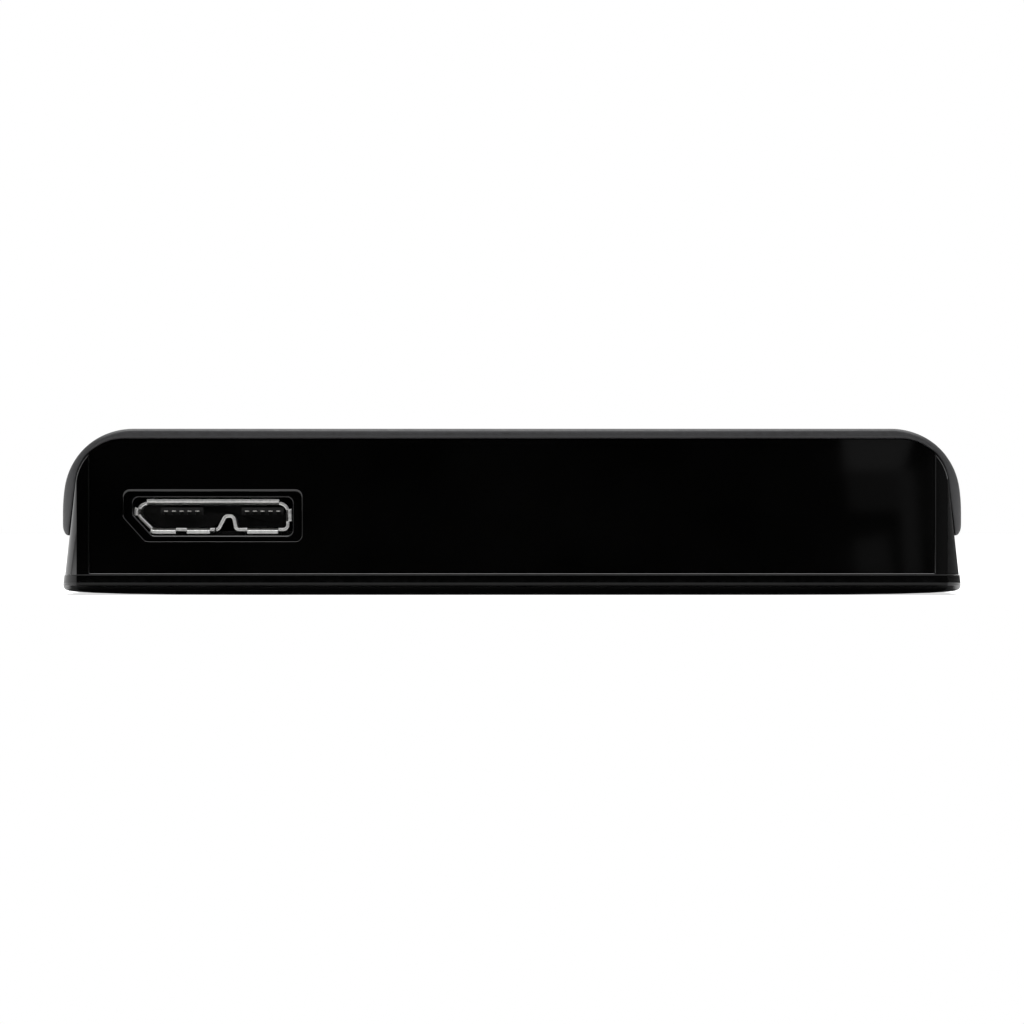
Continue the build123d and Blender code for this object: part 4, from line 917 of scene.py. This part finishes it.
class DRIVE_OT_socket(bpy.types.Operator):
    """Folded steel shell of the data socket, its contacts and the tongue that holds them"""

    bl_idname = "drive.socket"
    bl_label = "Data socket"

    def execute(self, context):
        socket = context.scene.socket_sizes
        place_piece("folded_shell", shell_skin(socket), "tinned_steel", "socket_shell")

        mouth, rear = CONTACTS_LOW.y, CONTACTS_HIGH.y
        level = SOCKET.z + socket.blade_rise
        half_w, half_t = socket.blade_w / 2, socket.blade_t / 2
        round_off, taper = 0.8 * half_t, 0.7 * half_t
        first, last = CONTACTS_LOW.x + half_w, CONTACTS_HIGH.x - half_w
        # A group of five from each end
        places = [first + socket.pitch * number for number in range(5)]
        places += [last - socket.pitch * number for number in range(5)]
        blades = bmesh.new()
        slots = []
        for x in places:
            slots.append((
                (x - socket.slot_w / 2, mouth - MM, level - socket.slot_h),
                (x + socket.slot_w / 2, mouth + MM, level),
            ))
            corners = ((-1, -1), (1, -1), (1, 1), (-1, 1))
            nose = rounded([(x + a * half_w, level + b * half_t, round_off) for a, b in corners], 4)
            loops = [[(px, rear, pz) for px, pz in nose]]
            for run, climb in reversed(quarter()):
                tip = grown(nose, -taper * run)
                loops.append([(px, mouth + half_t * climb, pz) for px, pz in tip])
            join_loops(blades, loops)
        place_piece("contact_blades", blades, "plated_bronze", "socket_contacts")
        tongue = carve(skin_of("socket_tongue"), boxes(slots))
        place_piece("comb_tongue", tongue, "black_nylon", "socket_tongue")
        return {"FINISHED"}


class DRIVE_OT_inside(bpy.types.Operator):
    """Finishes of the boards and the disk drive inside"""

    bl_idname = "drive.inside"
    bl_label = "Boards and disk drive"

    def execute(self, context):
        for solid in NODES.values():
            for place in solid.material_slots:
                place.material = finish(place.material.name.split(".")[0])
        return {"FINISHED"}


# Stage


class StageSizes(bpy.types.PropertyGroup):
    """Camera and light of the studio."""

    stand_off: millimetres("Stand-off", "Camera to the end panel", 500.0)
    eye_height: millimetres("Eye height", "Camera above the floor", 6.9)
    frame_width: millimetres("Frame width", "Width of the picture at the end panel", 84.83)
    apron: millimetres("Apron", "Floor in front of the case", 40.0)
    floor_reach: millimetres("Floor reach", "Floor to the sides and behind", 1500.0)
    floor_drop: millimetres("Floor drop", "Floor below the case", 0.02)
    back_gap: millimetres("Back gap", "Black flag behind the camera", 20.0)
    back_reach: millimetres("Back reach", "That flag to each side", 430.0)
    back_height: millimetres("Back height", "That flag above the floor", 100.0)
    back_depth: millimetres("Back depth", "That flag below the floor", 400.0)
    softbox_ahead: millimetres("Softbox ahead", "Softbox in front of the middle", 120.0)
    softbox_height: millimetres("Softbox height", "Softbox above the floor", 600.0)
    softbox_size: millimetres("Softbox size", "Width and length of the softbox", 500.0)
    overhead: bpy.props.FloatProperty(
        name="Overhead", description="Softbox above", default=6.0, min=0.0, unit="POWER"
    )
    ambient: bpy.props.FloatProperty(
        name="Ambient", description="Soft light from all round", default=0.3, min=0.0, subtype="FACTOR"
    )


def stage_material(name):
    """Empty node material for the stage."""
    made = bpy.data.materials.new(name)
    made.use_nodes = True
    made.node_tree.nodes.clear()
    return made


def cloth(name, code):
    """Dull cloth of a colour."""
    made = stage_material(name)
    dull = add_node(made.node_tree, "BsdfDiffuse", {"Color": linear(code)})
    add_node(made.node_tree, "OutputMaterial", {"Surface": dull.outputs[0]})
    return made


def card(name, corners, material):
    """Flat card of the stage."""
    data = bpy.data.meshes.new(name)
    data.from_pydata(corners, [], [(0, 1, 2, 3)])
    data.materials.append(material)
    piece = bpy.data.objects.new(name, data)
    bpy.context.scene.collection.objects.link(piece)
    return piece


def upright(near, far, low, high):
    """Corners of a card that stands between two points of the floor plan."""
    return [(*near, low), (*far, low), (*far, high), (*near, high)]


def paper_floor(stage):
    """White paper that takes a shadow and is lifted to white for the camera."""
    white = stage_material("White paper sweep")
    tree = white.node_tree
    glow = (0.72, 0.72, 0.72, 1)
    to_camera = add_node(tree, "LightPath").outputs["Is Camera Ray"]
    paper = add_node(tree, "BsdfDiffuse", {"Color": linear("#e6e6e6")})
    lift = add_node(tree, "Emission", {"Color": glow, "Strength": to_camera})
    both = add_node(tree, "AddShader", {0: paper.outputs[0], 1: lift.outputs[0]})
    add_node(tree, "OutputMaterial", {"Surface": both.outputs[0]})
    near, reach = FRAME_LOW.y - stage.apron, stage.floor_reach
    plan = ((-reach, near), (reach, near), (reach, reach), (-reach, reach))
    card("floor", [(x, y, -stage.floor_drop) for x, y in plan], white)


# Flags beside the case: x, both ends from the front of the case, bottom and top in mm, and cloth
SIDE_FLAGS = {
    "left_flag": (-600, (42, -350), (-400, 100), "black"),
    "right_flag": (150, (-20, 400), (-400, 30), "grey"),
    "right_front_flag": (400, (-480, -60), (-20, 60), "black"),
}
# Greys that the gloss panel mirrors: colour, and outline (x, z) in mm behind the camera
GREYS = {
    "upper_grey": ("#7c7c7c", ((56.2, 14.0), (66.0, 14.0), (68.0, 20.0), (55.6, 20.0))),
    "middle_grey": ("#505050", ((57.0, 7.0), (66.0, 7.0), (66.0, 14.0), (56.2, 14.0))),
    "lower_grey": ("#5a5a5a", ((58.0, -4.0), (64.6, -4.0), (63.4, 3.2), (57.6, 2.2))),
    "tall_grey": ("#666666", ((66.2, -4.0), (69.3, -4.0), (68.0, 14.0), (65.4, 14.0))),
    "edge_grey": ("#6a6a6a", ((71.6, -9.0), (80.0, -9.0), (80.0, 20.0), (71.6, 20.0))),
}


def mirrored_cards(stage):
    """Flags and cards that only show as reflections in the gloss pieces."""
    front = FRAME_LOW.y
    back = front - stage.stand_off - stage.back_gap
    side = stage.back_reach
    cloths = {"black": cloth("Black flag cloth", "#050505"), "grey": cloth("Grey flag cloth", "#6a6a6a")}
    behind = upright((-side, back), (side, back), -stage.back_depth, stage.back_height)
    cards = [card("back_flag", behind, cloths["black"])]
    for name, (x, ends, heights, colour) in SIDE_FLAGS.items():
        near, far = [(x * MM, front + y * MM) for y in ends]
        low, high = [z * MM for z in heights]
        cards.append(card(name, upright(near, far, low, high), cloths[colour]))
    for name, (code, outline) in GREYS.items():
        corners = [(x * MM, back + MM, z * MM) for x, z in outline]
        cards.append(card(name, corners, cloth("Grey card", code)))
    for piece in cards:
        piece.visible_camera = piece.visible_diffuse = piece.visible_shadow = False


def studio_light(stage):
    """Softbox above, and a world that is white to see and softer as a light."""
    world = bpy.data.worlds.new("White studio")
    bpy.context.scene.world = world
    world.use_nodes = True
    tree = world.node_tree
    path = add_node(tree, "LightPath").outputs
    seen = path["Is Camera Ray"]
    for ray in ("Is Glossy Ray", "Is Transmission Ray"):
        seen = add_node(tree, "Math", {0: seen, 1: path[ray]}, operation="MAXIMUM").outputs[0]
    level = add_node(tree, "MapRange", {"Value": seen, "To Min": stage.ambient, "To Max": 1.0})
    sky = tree.nodes["Background"]
    sky.inputs["Color"].default_value = (1, 1, 1, 1)
    tree.links.new(level.outputs["Result"], sky.inputs["Strength"])

    data = bpy.data.lights.new("Overhead softbox", "AREA")
    data.shape = "RECTANGLE"
    data.size = data.size_y = stage.softbox_size
    data.energy = stage.overhead
    lamp = bpy.data.objects.new("Overhead softbox", data)
    lamp.location = (0, -stage.softbox_ahead, stage.softbox_height)
    aim = Vector((0, 0, FRAME_HIGH.z)) - lamp.location
    lamp.rotation_euler = aim.to_track_quat("-Z", "Y").to_euler()
    bpy.context.scene.collection.objects.link(lamp)


class DRIVE_OT_stage(bpy.types.Operator):
    """Floor, studio light, cards that the gloss mirrors, and camera"""

    bl_idname = "drive.stage"
    bl_label = "Stage"

    def execute(self, context):
        scene = context.scene
        stage = scene.stage_sizes
        scene.view_settings.view_transform = "Standard"
        paper_floor(stage)
        mirrored_cards(stage)
        studio_light(stage)
        lens = bpy.data.cameras.new("Camera")
        lens.sensor_fit = "HORIZONTAL"
        lens.sensor_width = 36.0
        lens.lens = lens.sensor_width * stage.stand_off / stage.frame_width
        lens.clip_start = 10 * MM
        camera = bpy.data.objects.new("Camera", lens)
        camera.location = (0, FRAME_LOW.y - stage.stand_off, stage.eye_height)
        camera.rotation_euler = (RIGHT_ANGLE, 0, 0)
        scene.collection.objects.link(camera)
        scene.camera = camera
        return {"FINISHED"}


class DRIVE_PT_panel(bpy.types.Panel):
    """Lists the steps that build the drive"""

    bl_idname = "DRIVE_PT_panel"
    bl_label = "Portable hard drive"
    bl_space_type = "VIEW_3D"
    bl_region_type = "UI"
    bl_category = "Drive"

    def draw(self, context):
        for step in STEPS:
            self.layout.operator(step.bl_idname)


STEPS = (
    DRIVE_OT_inside,
    DRIVE_OT_saddle_cover,
    DRIVE_OT_frame,
    DRIVE_OT_underside,
    DRIVE_OT_end_panel,
    DRIVE_OT_socket,
    DRIVE_OT_stage,
)
CLASSES = (CaseSizes, SocketSizes, StageSizes) + STEPS + (DRIVE_PT_panel,)


def register():
    for kind in CLASSES:
        bpy.utils.register_class(kind)
    bpy.types.Scene.case_sizes = bpy.props.PointerProperty(type=CaseSizes)
    bpy.types.Scene.socket_sizes = bpy.props.PointerProperty(type=SocketSizes)
    bpy.types.Scene.stage_sizes = bpy.props.PointerProperty(type=StageSizes)


def unregister():
    del bpy.types.Scene.stage_sizes
    del bpy.types.Scene.socket_sizes
    del bpy.types.Scene.case_sizes
    for kind in reversed(CLASSES):
        bpy.utils.unregister_class(kind)


def main():
    register()
    for step in STEPS:
        group, name = step.bl_idname.split(".")
        getattr(getattr(bpy.ops, group), name)()


if __name__ == "__main__":
    main()
